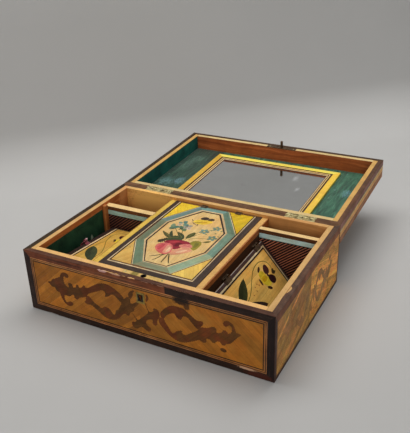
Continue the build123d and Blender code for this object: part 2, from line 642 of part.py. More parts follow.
# mirror in a straw-covered frame, and the silk round it
FX0, FX1 = FRAME_X - FRAME_HW, FRAME_X + FRAME_HW
with BuildPart() as lid_floor_lining:
    slab(LID, -XI, XI, VI0, VI1, FLOOR, FLOOR + 0.4)
    slab(LID, FX0, FX1, FRAME_V0, FRAME_V1, FLOOR, FLOOR + 0.4, Mode.SUBTRACT)
out(lid_floor_lining, "lid_floor_lining")

with BuildPart() as lid_wall_paper:
    slab(LID, -XI, -XI + PAPER, VI0 + 0.5, VI1 - 0.5, FLOOR + 0.5, RIM - 0.8)
    slab(LID, XI - PAPER, XI, VI0 + 0.5, VI1 - 0.5, FLOOR + 0.5, RIM - 0.8)
out(lid_wall_paper, "lid_wall_paper")

with BuildPart() as mirror_frame_rails:
    co = [(FX0, FRAME_V0), (FX1, FRAME_V0), (FX1, FRAME_V1), (FX0, FRAME_V1)]
    ci = [(FX0 + RAIL, FRAME_V0 + RAIL), (FX1 - RAIL, FRAME_V0 + RAIL), (FX1 - RAIL, FRAME_V1 - RAIL), (FX0 + RAIL, FRAME_V1 - RAIL)]
    mitred(LID, co, ci, FLOOR, FLOOR + RAIL_T)
    slab(LID, FX0 + RAIL - RABBET, FX1 - RAIL + RABBET, FRAME_V0 + RAIL - RABBET, FRAME_V1 - RAIL + RABBET, FLOOR, FLOOR + 0.3 + GLASS, Mode.SUBTRACT)
out(mirror_frame_rails, "mirror_frame_rails")

with BuildPart() as mirror_backing:
    slab(LID, FX0 + RAIL - RABBET, FX1 - RAIL + RABBET, FRAME_V0 + RAIL - RABBET, FRAME_V1 - RAIL + RABBET, FLOOR, FLOOR + 0.3)
out(mirror_backing, "mirror_backing")

with BuildPart() as mirror_glass:
    slab(LID, FX0 + RAIL - RABBET, FX1 - RAIL + RABBET, FRAME_V0 + RAIL - RABBET, FRAME_V1 - RAIL + RABBET, FLOOR + 0.3, FLOOR + 0.3 + GLASS)
out(mirror_glass, "mirror_glass")

# catch that the lock's bolt takes hold of
CATCH_V = AXIS_Y - CATCH_Y
with BuildPart() as lid_catch_plate:
    slab(LID, LX - 22.5, LX + 22.5, VI1, VB1 + 1.0, RIM - HT, RIM)
    rod(LID.offset(RIM - HT), CATCH_R, HT, Mode.SUBTRACT, at=(LX, CATCH_V))
    nail_holes(LID, LID_CATCH_NAILS, RIM)
out(lid_catch_plate, "lid_catch_plate")

with BuildPart() as lid_catch_pin:
    rod(LID.offset(RIM - HT), CATCH_R, HT + CATCH_L, at=(LX, CATCH_V))
    top = lid_catch_pin.faces().sort_by(Axis(LID.origin, LID.z_dir))[-1]
    chamfer(top.edges(), 0.5)
    slab(LID, LX - CATCH_R - 1, LX + 0.3, CATCH_V - 1.2, CATCH_V + 1.2, 4.1, 7.9, Mode.SUBTRACT)
out(lid_catch_pin, "lid_catch_pin")
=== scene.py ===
import math
import random

import bpy
import numpy as np
from mathutils import Matrix, Vector


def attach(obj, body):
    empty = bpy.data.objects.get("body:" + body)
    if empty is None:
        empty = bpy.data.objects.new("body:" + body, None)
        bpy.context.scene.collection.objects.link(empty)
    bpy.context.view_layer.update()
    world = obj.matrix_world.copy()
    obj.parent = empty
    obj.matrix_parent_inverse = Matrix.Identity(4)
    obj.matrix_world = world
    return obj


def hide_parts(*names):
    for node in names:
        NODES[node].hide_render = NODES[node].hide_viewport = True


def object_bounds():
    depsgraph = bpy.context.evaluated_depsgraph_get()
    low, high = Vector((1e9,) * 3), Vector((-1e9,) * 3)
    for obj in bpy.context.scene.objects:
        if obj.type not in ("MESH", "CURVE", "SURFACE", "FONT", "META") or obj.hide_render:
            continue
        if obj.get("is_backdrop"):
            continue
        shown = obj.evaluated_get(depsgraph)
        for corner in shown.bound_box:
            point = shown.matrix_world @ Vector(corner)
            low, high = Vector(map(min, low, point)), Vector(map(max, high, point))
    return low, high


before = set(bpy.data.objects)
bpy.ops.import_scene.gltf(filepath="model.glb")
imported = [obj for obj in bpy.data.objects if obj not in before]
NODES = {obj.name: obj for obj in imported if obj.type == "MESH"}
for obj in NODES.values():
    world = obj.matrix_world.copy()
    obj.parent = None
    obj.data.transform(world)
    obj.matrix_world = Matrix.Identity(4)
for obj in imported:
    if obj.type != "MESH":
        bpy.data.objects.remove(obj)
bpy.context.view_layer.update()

RND = random.Random(11)

# ------------------------------------------------------------------ frames
# All drawing is in millimetres in one of these faces: u to the right, v up
# the face, h out of it. A face's own origin is given in the part's frame.


class Face:
    def __init__(self, o, x, y):
        self.o, self.x, self.y = Vector(o), Vector(x).normalized(), Vector(y).normalized()
        self.n = self.x.cross(self.y).normalized()

    def at(self, u, v, h=0.0):
        return (self.o + self.x * u + self.y * v + self.n * h) * 0.001

    def up(self, h):
        return Face(self.o + self.n * h, self.x, self.y)


def tilt(deg):
    a = math.radians(deg)
    return math.cos(a), math.sin(a)


HALF_W, HALF_D, HIGH = 150.0, 100.0, 77.0
FRONT = Face((0, -HALF_D, 0), (1, 0, 0), (0, 0, 1))
BACK = Face((0, HALF_D, 0), (-1, 0, 0), (0, 0, 1))
RIGHT = Face((HALF_W, 0, 0), (0, 1, 0), (0, 0, 1))
LEFT = Face((-HALF_W, 0, 0), (0, -1, 0), (0, 0, 1))
RIM = Face((0, 0, HIGH), (1, 0, 0), (0, 1, 0))
_c, _s = tilt(2.3)
LV, LW = Vector((0, _c, _s)), Vector((0, -_s, _c))
LID_O = Vector((0, 100.15, 77.1))
LID = Face(LID_O, (1, 0, 0), LV)                       # h is out of the lid's rim


def lid_point(x, v, w):
    return LID_O + Vector((x, 0, 0)) + LV * v + LW * w


LID_OUT, LID_RIM, LID_FLOOR = -25.6, -0.1, -20.6
LID_FAR = Face(lid_point(0, 200.15, 0), (-1, 0, 0), LW)        # far side, seen from behind
LID_NEAR = Face(lid_point(0, 0.15, 0), (1, 0, 0), LW)          # hinge side
LID_RIGHT = Face(lid_point(150, 0, 0), LV, LW)
LID_LEFT = Face(lid_point(-150, 0, 0), LV * -1, LW)
LID_TOP = Face(lid_point(0, 100.15, LID_OUT), (-1, 0, 0), LV)  # the face that shows when shut
CENTRE = Face((0, 0, 73.4), (1, 0, 0), (0, 1, 0))
_c, _s = tilt(5.4)
LEFT_LID = Face((-70.9, 0, 48.4), (1, 0, 0), (0, _c, -_s))
_c, _s = tilt(49.7)
RIGHT_LID = Face((67.4, 0, 60.8), (_c, 0, -_s), (0, 1, 0))
MAIN_X, MAIN_L = (-94.5, 101.0), 18.8                          # main hinges, half length with room

# ------------------------------------------------------------------ colour


def to_lin(x):
    x = max(0.0, x) / 255.0
    return x / 12.92 if x <= 0.04045 else ((x + 0.055) / 1.055) ** 2.4


def to_disp(x):
    x = min(max(x, 0.0), 1.0)
    return 255.0 * (12.92 * x if x <= 0.0031308 else 1.055 * x ** (1 / 2.4) - 0.055)


def lin(c):
    """Linear colour from 0-255 display values."""
    return tuple(to_lin(x) for x in c[:3]) + (1.0,)


def seen(c, k):
    """The colour a surface must have to look like c where it gets k of the light."""
    return tuple(to_disp(min(to_lin(x) / k, 0.86)) for x in c)


def shift(c, f, warm=0.0):
    return (max(0, c[0] * f * (1 + warm)), max(0, c[1] * f), max(0, c[2] * f * (1 - warm)))


K_FRONT, K_SIDE = 0.62, 0.5

# ------------------------------------------------------------------ nodes


class Tree:
    """A few helpers that keep node materials short."""

    def __init__(self, name):
        self.mat = bpy.data.materials.new(name)
        self.mat.use_nodes = True
        self.t = self.mat.node_tree
        for n in list(self.t.nodes):
            self.t.nodes.remove(n)
        self.out = self.add("ShaderNodeOutputMaterial")
        self.bsdf = self.add("ShaderNodeBsdfPrincipled")
        self.link(self.bsdf.outputs[0], self.out.inputs[0])

    def add(self, kind, **props):
        n = self.t.nodes.new(kind)
        for k, v in props.items():
            setattr(n, k, v)
        return n

    def link(self, a, b):
        self.t.links.new(a, b)

    def put(self, socket, value):
        if hasattr(value, "node"):
            self.link(value, socket)
        else:
            socket.default_value = value

    def math(self, op, a, b=0.0, c=0.0, clamp=False):
        n = self.add("ShaderNodeMath", operation=op, use_clamp=clamp)
        self.put(n.inputs[0], a)
        self.put(n.inputs[1], b)
        if len(n.inputs) > 2:
            self.put(n.inputs[2], c)
        return n.outputs[0]

    def vec(self, x=0.0, y=0.0, z=0.0):
        n = self.add("ShaderNodeCombineXYZ")
        for i, v in enumerate((x, y, z)):
            self.put(n.inputs[i], v)
        return n.outputs[0]

    def split(self, v):
        n = self.add("ShaderNodeSeparateXYZ")
        self.link(v, n.inputs[0])
        return n.outputs

    def vmath(self, op, a, b=(0, 0, 0), scale=None):
        n = self.add("ShaderNodeVectorMath", operation=op)
        self.put(n.inputs[0], a)
        if op not in ("SCALE", "LENGTH"):
            self.put(n.inputs[1], b)
        if scale is not None:
            self.put(n.inputs["Scale"], scale)
        return n.outputs["Value"] if op in ("DOT_PRODUCT", "LENGTH", "DISTANCE") else n.outputs[0]

    def attr(self, name):
        return self.add("ShaderNodeAttribute", attribute_name=name)

    def noise(self, v, scale=1.0, detail=3.0, rough=0.55, dist=0.0):
        n = self.add("ShaderNodeTexNoise")
        self.link(v, n.inputs["Vector"])
        n.inputs["Scale"].default_value = scale
        n.inputs["Detail"].default_value = detail
        n.inputs["Roughness"].default_value = rough
        n.inputs["Distortion"].default_value = dist
        return n.outputs[0]

    def white(self, v):
        n = self.add("ShaderNodeTexWhiteNoise", noise_dimensions="3D")
        self.link(v, n.inputs["Vector"])
        return n.outputs["Value"]

    def remap(self, v, a, b, c, d, smooth=False):
        n = self.add("ShaderNodeMapRange", clamp=True)
        if smooth:
            n.interpolation_type = "SMOOTHSTEP"
        self.put(n.inputs[0], v)
        for i, x in enumerate((a, b, c, d)):
            self.put(n.inputs[i + 1], x)
        return n.outputs[0]

    def ramp(self, v, stops):
        n = self.add("ShaderNodeValToRGB")
        self.link(v, n.inputs[0])
        e = n.color_ramp.elements
        while len(e) < len(stops):
            e.new(0.5)
        for i, (p, c) in enumerate(stops):
            e[i].position = p
            e[i].color = c if len(c) == 4 else lin(c)
        return n.outputs[0]

    def mix(self, f, a, b, kind="MIX"):
        n = self.add("ShaderNodeMix", data_type="RGBA", blend_type=kind)
        self.put(n.inputs[0], f)
        self.put(n.inputs[6], a)
        self.put(n.inputs[7], b)
        return n.outputs[2]

    def rgb(self, c):
        n = self.add("ShaderNodeRGB")
        n.outputs[0].default_value = lin(c)
        return n.outputs[0]

    def gain(self, colour, f):
        """Colour times a number."""
        return self.vmath("SCALE", colour, scale=f)

    def place(self, scale=1000.0):
        """The object's own coordinates in millimetres."""
        n = self.add("ShaderNodeTexCoord")
        return self.vmath("SCALE", n.outputs["Object"], scale=scale)

    def normal(self):
        return self.add("ShaderNodeTexCoord").outputs["Normal"]

    def blot(self, where, centre, size, soft=0.3, rough=0.7, scale=0.3):
        """1 inside a ragged patch round centre, 0 outside it."""
        d = self.vmath("DIVIDE", self.vmath("SUBTRACT", where, centre), size)
        r = self.vmath("LENGTH", d)
        n = self.noise(where, scale, 4.0, 0.65)
        r = self.math("ADD", r, self.math("MULTIPLY", self.math("SUBTRACT", n, 0.5), rough * 2))
        return self.remap(r, 1.0 - soft, 1.0 + soft, 1.0, 0.0, True)

    def bump(self, h, distance, strength=1.0):
        n = self.add("ShaderNodeBump")
        n.inputs["Distance"].default_value = distance
        n.inputs["Strength"].default_value = strength
        self.link(h, n.inputs["Height"])
        self.link(n.outputs[0], self.bsdf.inputs["Normal"])

    def done(self, colour=None, rough=None, metal=None, spec=None):
        if colour is not None:
            self.put(self.bsdf.inputs["Base Color"], colour)
        if rough is not None:
            self.put(self.bsdf.inputs["Roughness"], rough)
        if metal is not None:
            self.bsdf.inputs["Metallic"].default_value = metal
        if spec is not None:
            self.bsdf.inputs["Specular IOR Level"].default_value = spec
        return self.mat


def straw(name, width=3.2, tone=0.13, fibre=0.12, grime=0.22, rough=0.42, spec=0.4, aniso=0.55, mottle=0.0, fleck=0.0, blots=(), streak=0.0, varnish=0.5, water=0.0, drift=None):
    """Split, flattened straw. The mesh says where the stems run: attribute st is
    the distance along and across them in mm and a number for the piece, tint is
    the piece's own colour, and run is the stems' direction."""
    t = Tree(name)
    st = t.attr("st").outputs["Vector"]
    tint = t.attr("tint").outputs["Color"]
    a, b, seed = t.split(st)
    where = t.place()
    wob = t.noise(t.vec(t.math("MULTIPLY", a, 0.035), t.math("MULTIPLY", b, 0.02), seed), 1.0, 2.0)
    bb = t.math("ADD", t.math("DIVIDE", b, width), t.math("MULTIPLY", seed, 7.31))
    bb = t.math("ADD", bb, t.math("MULTIPLY", wob, 0.35))
    cell = t.math("FLOOR", bb)
    part = t.math("SUBTRACT", bb, cell)
    lot = t.white(t.vec(cell, seed, 3.7))
    lot2 = t.white(t.vec(seed, cell, 9.1))
    # the stems differ a little in tone, the fibres more finely
    f_tone = t.remap(lot, 0.0, 1.0, 1.0 - tone, 1.0 + tone)
    fine = t.noise(t.vec(t.math("MULTIPLY", a, 0.045), t.math("MULTIPLY", b, 3.1), t.math("ADD", seed, lot2)), 1.0, 4.0, 0.65)
    broad = t.noise(t.vec(t.math("MULTIPLY", a, 0.03), t.math("MULTIPLY", b, 0.75), t.math("MULTIPLY", seed, 3.0)), 1.0, 3.0, 0.6)
    f_fine = t.remap(fine, 0.25, 0.75, 1.0 - fibre, 1.0 + fibre)
    f_broad = t.remap(broad, 0.3, 0.7, 1.0 - 0.6 * fibre, 1.0 + 0.6 * fibre)
    seam = t.math("MULTIPLY", t.remap(part, 0.0, 0.07, 0.80, 1.0, True), t.remap(part, 0.94, 1.0, 1.0, 0.86, True))
    dirt = t.noise(where, 0.07, 5.0, 0.62, 0.6)
    dirt2 = t.noise(where, 0.9, 4.0, 0.7)
    f_dirt = t.remap(dirt, 0.36, 0.62, 1.0 - grime, 1.04)
    f_dirt2 = t.remap(dirt2, 0.3, 0.55, 1.0 - 0.35 * grime, 1.0)
    f = t.math("MULTIPLY", t.math("MULTIPLY", f_tone, f_fine), t.math("MULTIPLY", f_broad, seam))
    f = t.math("MULTIPLY", f, t.math("MULTIPLY", f_dirt, f_dirt2))
    colour = t.gain(tint, f)
    # old varnish: warmer where it lies thick
    warm = t.remap(t.noise(t.vmath("ADD", where, (31.0, 7.0, 3.0)), 0.045, 3.0), 0.4, 0.65, 0.0, varnish)
    colour = t.mix(warm, colour, t.mix(1.0, colour, lin((255, 226, 188)), "MULTIPLY"))
    if streak:
        # pale scuffs along the stems
        sc = t.noise(t.vec(t.math("MULTIPLY", a, 0.02), t.math("MULTIPLY", b, 1.3), t.math("ADD", seed, 5.0)), 1.0, 5.0, 0.7)
        colour = t.mix(t.remap(sc, 0.60, 0.72, 0.0, streak, True), colour, lin((170, 140, 118)))
    if mottle:
        # watered figure of the fields, a moire of short dark strokes across the stems
        m1 = t.noise(t.vec(t.math("MULTIPLY", a, 0.16), t.math("MULTIPLY", b, 0.30), seed), 1.0, 2.5, 0.5, 1.1)
        m = t.remap(m1, 0.47, 0.60, 0.0, mottle, True)
        colour = t.mix(m, colour, t.mix(1.0, colour, lin((190, 144, 96)), "MULTIPLY"))
    if water:
        # strongly watered straw: long wandering light and dark streaks
        w1 = t.noise(t.vec(t.math("MULTIPLY", a, 0.055), t.math("MULTIPLY", b, 0.42), t.math("MULTIPLY", seed, 0.05)), 1.0, 4.0, 0.62, 2.6)
        w2 = t.noise(t.vec(t.math("MULTIPLY", a, 0.03), t.math("MULTIPLY", b, 0.9), t.math("ADD", t.math("MULTIPLY", seed, 0.05), 2.0)), 1.0, 3.0, 0.6, 1.6)
        ww = t.math("ADD", t.math("MULTIPLY", w1, 0.7), t.math("MULTIPLY", w2, 0.3))
        colour = t.gain(colour, t.remap(ww, 0.38, 0.62, 1.0 - water, 1.0 + water, True))
        w3 = t.noise(t.vec(t.math("MULTIPLY", a, 0.075), t.math("MULTIPLY", b, 0.26), 7.0), 1.0, 3.0, 0.55, 3.2)
        curl = t.remap(t.math("ABSOLUTE", t.math("SUBTRACT", w3, 0.5)), 0.0, 0.035, 0.55, 0.0, True)
        colour = t.mix(curl, colour, t.mix(1.0, colour, lin((176, 160, 136)), "MULTIPLY"))
    if drift:
        colour = t.mix(1.0, colour, t.mix(t.remap(t.noise(where, 0.055, 3.0, 0.5, 0.5), 0.40, 0.60, 0.0, 1.0, True), lin(drift[0]), lin(drift[1])), "MULTIPLY")
    if fleck:
        v = t.add("ShaderNodeTexVoronoi", feature="F1")
        t.link(where, v.inputs["Vector"])
        v.inputs["Scale"].default_value = 0.22
        pick = t.white(v.outputs["Position"])
        near = t.remap(v.outputs["Distance"], 0.06, 0.16, 1.0, 0.0, True)
        hit = t.math("MULTIPLY", near, t.math("GREATER_THAN", pick, 1.0 - fleck))
        colour = t.mix(t.math("MULTIPLY", hit, 0.7), colour, lin((150, 62, 30)))
    for centre, size, paint, strength in blots:
        colour = t.mix(t.math("MULTIPLY", t.blot(where, centre, size), strength), colour, lin(paint))
    r = t.remap(fine, 0.3, 0.7, rough - 0.07, rough + 0.09)
    r = t.math("ADD", r, t.remap(dirt, 0.35, 0.6, 0.12, 0.0))
    run = t.attr("run").outputs["Vector"]
    turn = t.add("ShaderNodeVectorTransform", vector_type="VECTOR", convert_from="OBJECT", convert_to="WORLD")
    t.link(run, turn.inputs[0])
    t.link(turn.outputs[0], t.bsdf.inputs["Tangent"])
    t.bsdf.inputs["Anisotropic"].default_value = aniso
    dome = t.math("MULTIPLY", t.math("POWER", t.math("ABSOLUTE", t.math("SUBTRACT", part, 0.5)), 2.0), -2.2)
    h = t.math("ADD", t.math("MULTIPLY", fine, 0.5), dome)
    h = t.math("ADD", h, t.math("MULTIPLY", dirt2, 0.35))
    t.bump(h, 0.00012, 0.8)
    return t.done(colour, r, 0.0, spec)


def wood(name, light, dark, axis="x", across="z", rough=0.6, grain=1.0, seed=0.0, pores=0.5, spec=0.2, worn=(), blots=()):
    """Plain softwood. axis is the way the grain runs, across the way over the
    board's face. worn = (direction, colour, dirt) for faces that were cut or rubbed
    clean: the rims, and edges where straw has come off."""
    t = Tree(name)
    where = t.place()
    x, y, z = t.split(where)
    pick = {"x": x, "y": y, "z": z}
    third = [k for k in "xyz" if k not in (axis, across)][0]
    a, b, c = pick[axis], pick[across], pick[third]
    wav = t.noise(t.vec(t.math("MULTIPLY", a, 0.012), t.math("MULTIPLY", b, 0.05), t.math("ADD", t.math("MULTIPLY", c, 0.05), seed)), 1.0, 2.0)
    bb = t.math("ADD", b, t.math("MULTIPLY", wav, 16.0))
    rings = t.noise(t.vec(t.math("MULTIPLY", a, 0.006), t.math("MULTIPLY", bb, 0.30 * grain), t.math("ADD", t.math("MULTIPLY", c, 0.30 * grain), seed)), 1.0, 3.0, 0.6)
    fine = t.noise(t.vec(t.math("MULTIPLY", a, 0.05), t.math("MULTIPLY", bb, 2.6), t.math("ADD", t.math("MULTIPLY", c, 2.6), seed)), 1.0, 4.0, 0.7)
    colour = t.ramp(rings, [(0.30, dark), (0.52, tuple((l + d) / 2 for l, d in zip(light, dark))), (0.68, light)])
    colour = t.gain(colour, t.remap(fine, 0.25, 0.75, 0.84, 1.14))
    pore = t.noise(t.vec(t.math("MULTIPLY", a, 0.14), t.math("MULTIPLY", bb, 5.0), t.math("ADD", t.math("MULTIPLY", c, 5.0), seed + 4.0)), 1.0, 1.0)
    colour = t.gain(colour, t.remap(pore, 0.60, 0.72, 1.0, 1.0 - 0.35 * pores, True))
    dirt = t.noise(where, 0.06, 5.0, 0.6, 0.4)
    colour = t.gain(colour, t.remap(dirt, 0.35, 0.6, 0.82, 1.05))
    nick = t.noise(where, 0.35, 4.0, 0.7)
    for way, tone, soft in worn:
        d = t.vmath("DOT_PRODUCT", t.normal(), way)
        f = t.remap(d, 0.80, 0.95, 0.0, 1.0, True)
        edge = t.gain(t.mix(t.remap(fine, 0.3, 0.7, 0.0, 1.0), lin(shift(tone, 0.88, 0.02)), lin(tone)), t.remap(dirt, 0.35, 0.6, 0.86, 1.05))
        edge = t.mix(t.remap(nick, 0.60, 0.70, 0.0, soft, True), edge, lin(shift(tone, 0.55, 0.08)))
        colour = t.mix(f, colour, edge)
    for centre, size, paint, strength in blots:
        colour = t.mix(t.math("MULTIPLY", t.blot(where, centre, size), strength), colour, lin(paint))
    r = t.remap(fine, 0.3, 0.7, rough - 0.08, rough + 0.08)
    h = t.math("ADD", t.math("MULTIPLY", fine, 0.6), t.math("MULTIPLY", t.noise(where, 1.4, 4.0, 0.7), 0.4))
    t.bump(h, 0.00018, 0.7)
    return t.done(colour, r, 0.0, spec)


def paper(name, base, deep, rough=0.78, crease=0.35, scale=1.0, seed=0.0, blots=(), side=None):
    """Old lining paper: soft mottling, faint creases and rubbed places."""
    t = Tree(name)
    own = t.place()
    where = t.vmath("ADD", own, (seed * 13.0, seed * 7.0, seed))
    m = t.noise(where, 0.05 * scale, 5.0, 0.62, 0.5)
    m2 = t.noise(where, 0.6 * scale, 4.0, 0.7)
    colour = t.ramp(m, [(0.33, deep), (0.66, base)])
    colour = t.gain(colour, t.remap(m2, 0.3, 0.7, 0.86, 1.14))
    line = t.noise(t.vmath("MULTIPLY", where, (0.10, 0.10, 0.03)), 1.0, 3.0, 0.5, 1.6)
    f = t.remap(t.math("ABSOLUTE", t.math("SUBTRACT", line, 0.5)), 0.0, 0.016, crease, 0.0, True)
    colour = t.mix(f, colour, t.gain(colour, 1.5))
    speck = t.noise(where, 2.2, 2.0, 0.8)
    colour = t.mix(t.remap(speck, 0.70, 0.76, 0.0, 0.25, True), colour, lin((150, 160, 140)))
    for centre, size, paint, strength in blots:
        colour = t.mix(t.math("MULTIPLY", t.blot(own, centre, size), strength), colour, lin(paint))
    if side:
        # dark brown on the partition's side, below x = side[0]
        colour = t.mix(t.remap(t.split(own)[0], side[0], side[0] + 0.4, 1.0, 0.0), colour, t.gain(t.rgb(side[1]), t.remap(m2, 0.3, 0.7, 0.7, 1.2)))
    h = t.math("ADD", t.math("MULTIPLY", m2, 0.6), t.math("MULTIPLY", f, 0.9))
    t.bump(h, 0.00015, 0.7)
    return t.done(colour, t.remap(m2, 0.3, 0.7, rough - 0.08, rough + 0.06), 0.0, 0.2)


def metal(name, base, patina, amount=0.5, rough=0.36, spec=0.5, metallic=1.0, scratch=0.5, extra=None):
    """Old brass or iron: bright where it is rubbed, stained in the hollows."""
    t = Tree(name)
    where = t.place()
    m = t.noise(where, 0.22, 6.0, 0.68, 0.4)
    m2 = t.noise(where, 1.6, 4.0, 0.7)
    f = t.remap(t.math("ADD", t.math("MULTIPLY", m, 0.7), t.math("MULTIPLY", m2, 0.3)), 0.40, 0.62, 0.0, 1.0, True)
    f = t.math("MULTIPLY", f, amount)
    colour = t.mix(f, t.gain(t.rgb(base), t.remap(m2, 0.3, 0.7, 0.86, 1.1)), lin(patina))
    x, y, z = t.split(where)
    if extra:
        colour = extra(t, colour, x, y, z, m2)
    s = t.noise(t.vec(t.math("MULTIPLY", x, 0.4), t.math("MULTIPLY", y, 5.0), t.math("MULTIPLY", z, 5.0)), 1.0, 3.0)
    r = t.math("ADD", t.remap(s, 0.35, 0.65, rough - 0.06 * scratch, rough + 0.10 * scratch), t.math("MULTIPLY", f, 0.35))
    h = t.math("ADD", t.math("MULTIPLY", m2, 0.5), t.math("MULTIPLY", s, 0.3))
    t.bump(h, 0.0001, 0.5)
    return t.done(colour, r, metallic, spec)


# ------------------------------------------------------------------ meshes


class Sheet:
    """Closed thin plates on a face, gathered into one mesh. Every plate keeps its
    own colour and the way its straw runs."""

    def __init__(self, name):
        self.name = name
        self.v, self.f, self.st, self.tint, self.run, self.slot = [], [], [], [], [], []
        self.count = 0

    def plate(self, face, poly, h0, h1, tint, deg=0.0, seed=None, slot=0):
        """h0 and h1 are the heights of its underside and top, or one per corner."""
        n = len(poly)
        if n < 3:
            return
        area = sum(poly[i][0] * poly[(i + 1) % n][1] - poly[(i + 1) % n][0] * poly[i][1] for i in range(n)) / 2
        if abs(area) < 0.02:
            return
        lo = list(h0) if isinstance(h0, (list, tuple)) else [h0] * n
        hi = list(h1) if isinstance(h1, (list, tuple)) else [h1] * n
        if area < 0:
            poly, lo, hi = list(reversed(poly)), lo[::-1], hi[::-1]
        seed = RND.random() * 40 if seed is None else seed
        a = math.radians(deg)
        ca, sa = math.cos(a), math.sin(a)
        way = (face.x * ca + face.y * sa).normalized()
        k = len(self.v)
        for hs in (lo, hi):
            for (u, v), h in zip(poly, hs):
                self.v.append(face.at(u, v, h))
        st = [(u * ca + v * sa, -u * sa + v * ca, seed) for u, v in poly]
        c = lin(tint)
        faces = [(list(range(k + n, k + 2 * n)), list(range(n))), (list(range(k + n - 1, k - 1, -1)), list(range(n - 1, -1, -1)))]
        for i in range(n):
            j = (i + 1) % n
            faces.append(([k + i, k + j, k + n + j, k + n + i], [i, j, j, i]))
        for ids, where in faces:
            self.f.append(ids)
            self.slot.append(slot)
            for w in where:
                self.st.append(st[w])
                self.tint.append(c)
                self.run.append(tuple(way))

    def make(self, mats, body, replaces=()):
        me = bpy.data.meshes.new(self.name)
        me.from_pydata([tuple(p) for p in self.v], [], self.f)
        for nm, kind, data in (("st", "FLOAT_VECTOR", self.st), ("run", "FLOAT_VECTOR", self.run)):
            at = me.attributes.new(nm, kind, "CORNER")
            at.data.foreach_set("vector", np.array(data, np.float32).ravel())
        at = me.attributes.new("tint", "FLOAT_COLOR", "CORNER")
        at.data.foreach_set("color", np.array(self.tint, np.float32).ravel())
        me.polygons.foreach_set("material_index", self.slot)
        me.update()
        me.validate()
        o = bpy.data.objects.new(self.name, me)
        bpy.context.scene.collection.objects.link(o)
        for m in mats if isinstance(mats, (list, tuple)) else [mats]:
            me.materials.append(m)
        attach(o, body)
        if replaces:
            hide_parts(*replaces)
        return o


def clip(poly, a, b, c):
    """The part of a polygon where a*u + b*v <= c."""
    out = []
    n = len(poly)
    for i in range(n):
        p, q = poly[i], poly[(i + 1) % n]
        dp, dq = a * p[0] + b * p[1] - c, a * q[0] + b * q[1] - c
        if dp <= 0:
            out.append(p)
        if (dp < 0 < dq) or (dq < 0 < dp):
            f = dp / (dp - dq)
            out.append((p[0] + f * (q[0] - p[0]), p[1] + f * (q[1] - p[1])))
    return out


def without(poly, hole):
    """The pieces of a polygon that lie outside an upright rectangle."""
    u0, u1, v0, v1 = hole
    mid = clip(clip(poly, 1, 0, u1), -1, 0, -u0)
    parts = (clip(poly, 1, 0, u0), clip(poly, -1, 0, -u1), clip(mid, 0, 1, v0), clip(mid, 0, -1, -v1))
    return [p for p in parts if len(p) > 2]


def inset(poly, d):
    """A convex polygon, listed anticlockwise, moved in by d on every side."""
    n = len(poly)
    lines = []
    for i in range(n):
        (x0, y0), (x1, y1) = poly[i], poly[(i + 1) % n]
        length = math.hypot(x1 - x0, y1 - y0)
        nx, ny = -(y1 - y0) / length, (x1 - x0) / length
        dd = d[i] if isinstance(d, (list, tuple)) else d
        lines.append((nx, ny, nx * x0 + ny * y0 + dd))
    out = []
    for i in range(n):
        a1, b1, c1 = lines[i - 1]
        a2, b2, c2 = lines[i]
        det = a1 * b2 - a2 * b1
        out.append(((c1 * b2 - c2 * b1) / det, (a1 * c2 - a2 * c1) / det))
    return out


def rect(u0, u1, v0, v1):
    return [(u0, v0), (u1, v0), (u1, v1), (u0, v1)]


def edge_paths(poly, rnd, amount, step=14.0, bites=None, out=1.0):
    """Each side of a polygon as points that stray a little from the line. bites are
    {side: [(from, to, depth)]}: ragged notches worn into a side, or with a depth
    below 0 a clean notch."""
    sides = []
    n = len(poly)
    for i in range(n):
        (x0, y0), (x1, y1) = poly[i], poly[(i + 1) % n]
        length = math.hypot(x1 - x0, y1 - y0)
        nx, ny = -(y1 - y0) / length * out, (x1 - x0) / length * out
        k = max(1, int(length / step))
        marks = [(0.0, 0.0)]
        for j in range(1, k):
            marks.append((length * (j + rnd.uniform(-0.25, 0.25)) / k, rnd.gauss(0, amount)))
        marks.append((length, 0.0))
        for s0, s1, depth in (bites or {}).get(i, ()):
            marks = [m for m in marks if not s0 - 0.01 < m[0] < s1 + 0.01]
            if depth < 0:
                marks += [(s0, 0.0), (s0 + 0.002, -depth), (s1 - 0.002, -depth), (s1, 0.0)]
                continue
            s = s0
            marks.append((s0, 0.0))
            while s < s1 - 1.0:
                s = min(s1 - 0.3, s + rnd.uniform(0.8, 4.2))
                end = min(1.0, (s - s0) / 3.0, (s1 - s) / 3.0 + 0.2)
                marks.append((s, depth * end * rnd.choice((0.15, 0.5, 0.75, 0.9, 1.0, 1.1))))
            marks.append((s1, 0.0))
        marks.sort()
        sides.append([(x0 + s / length * (x1 - x0) + nx * d, y0 + s / length * (y1 - y0) + ny * d) for s, d in marks])
    return sides


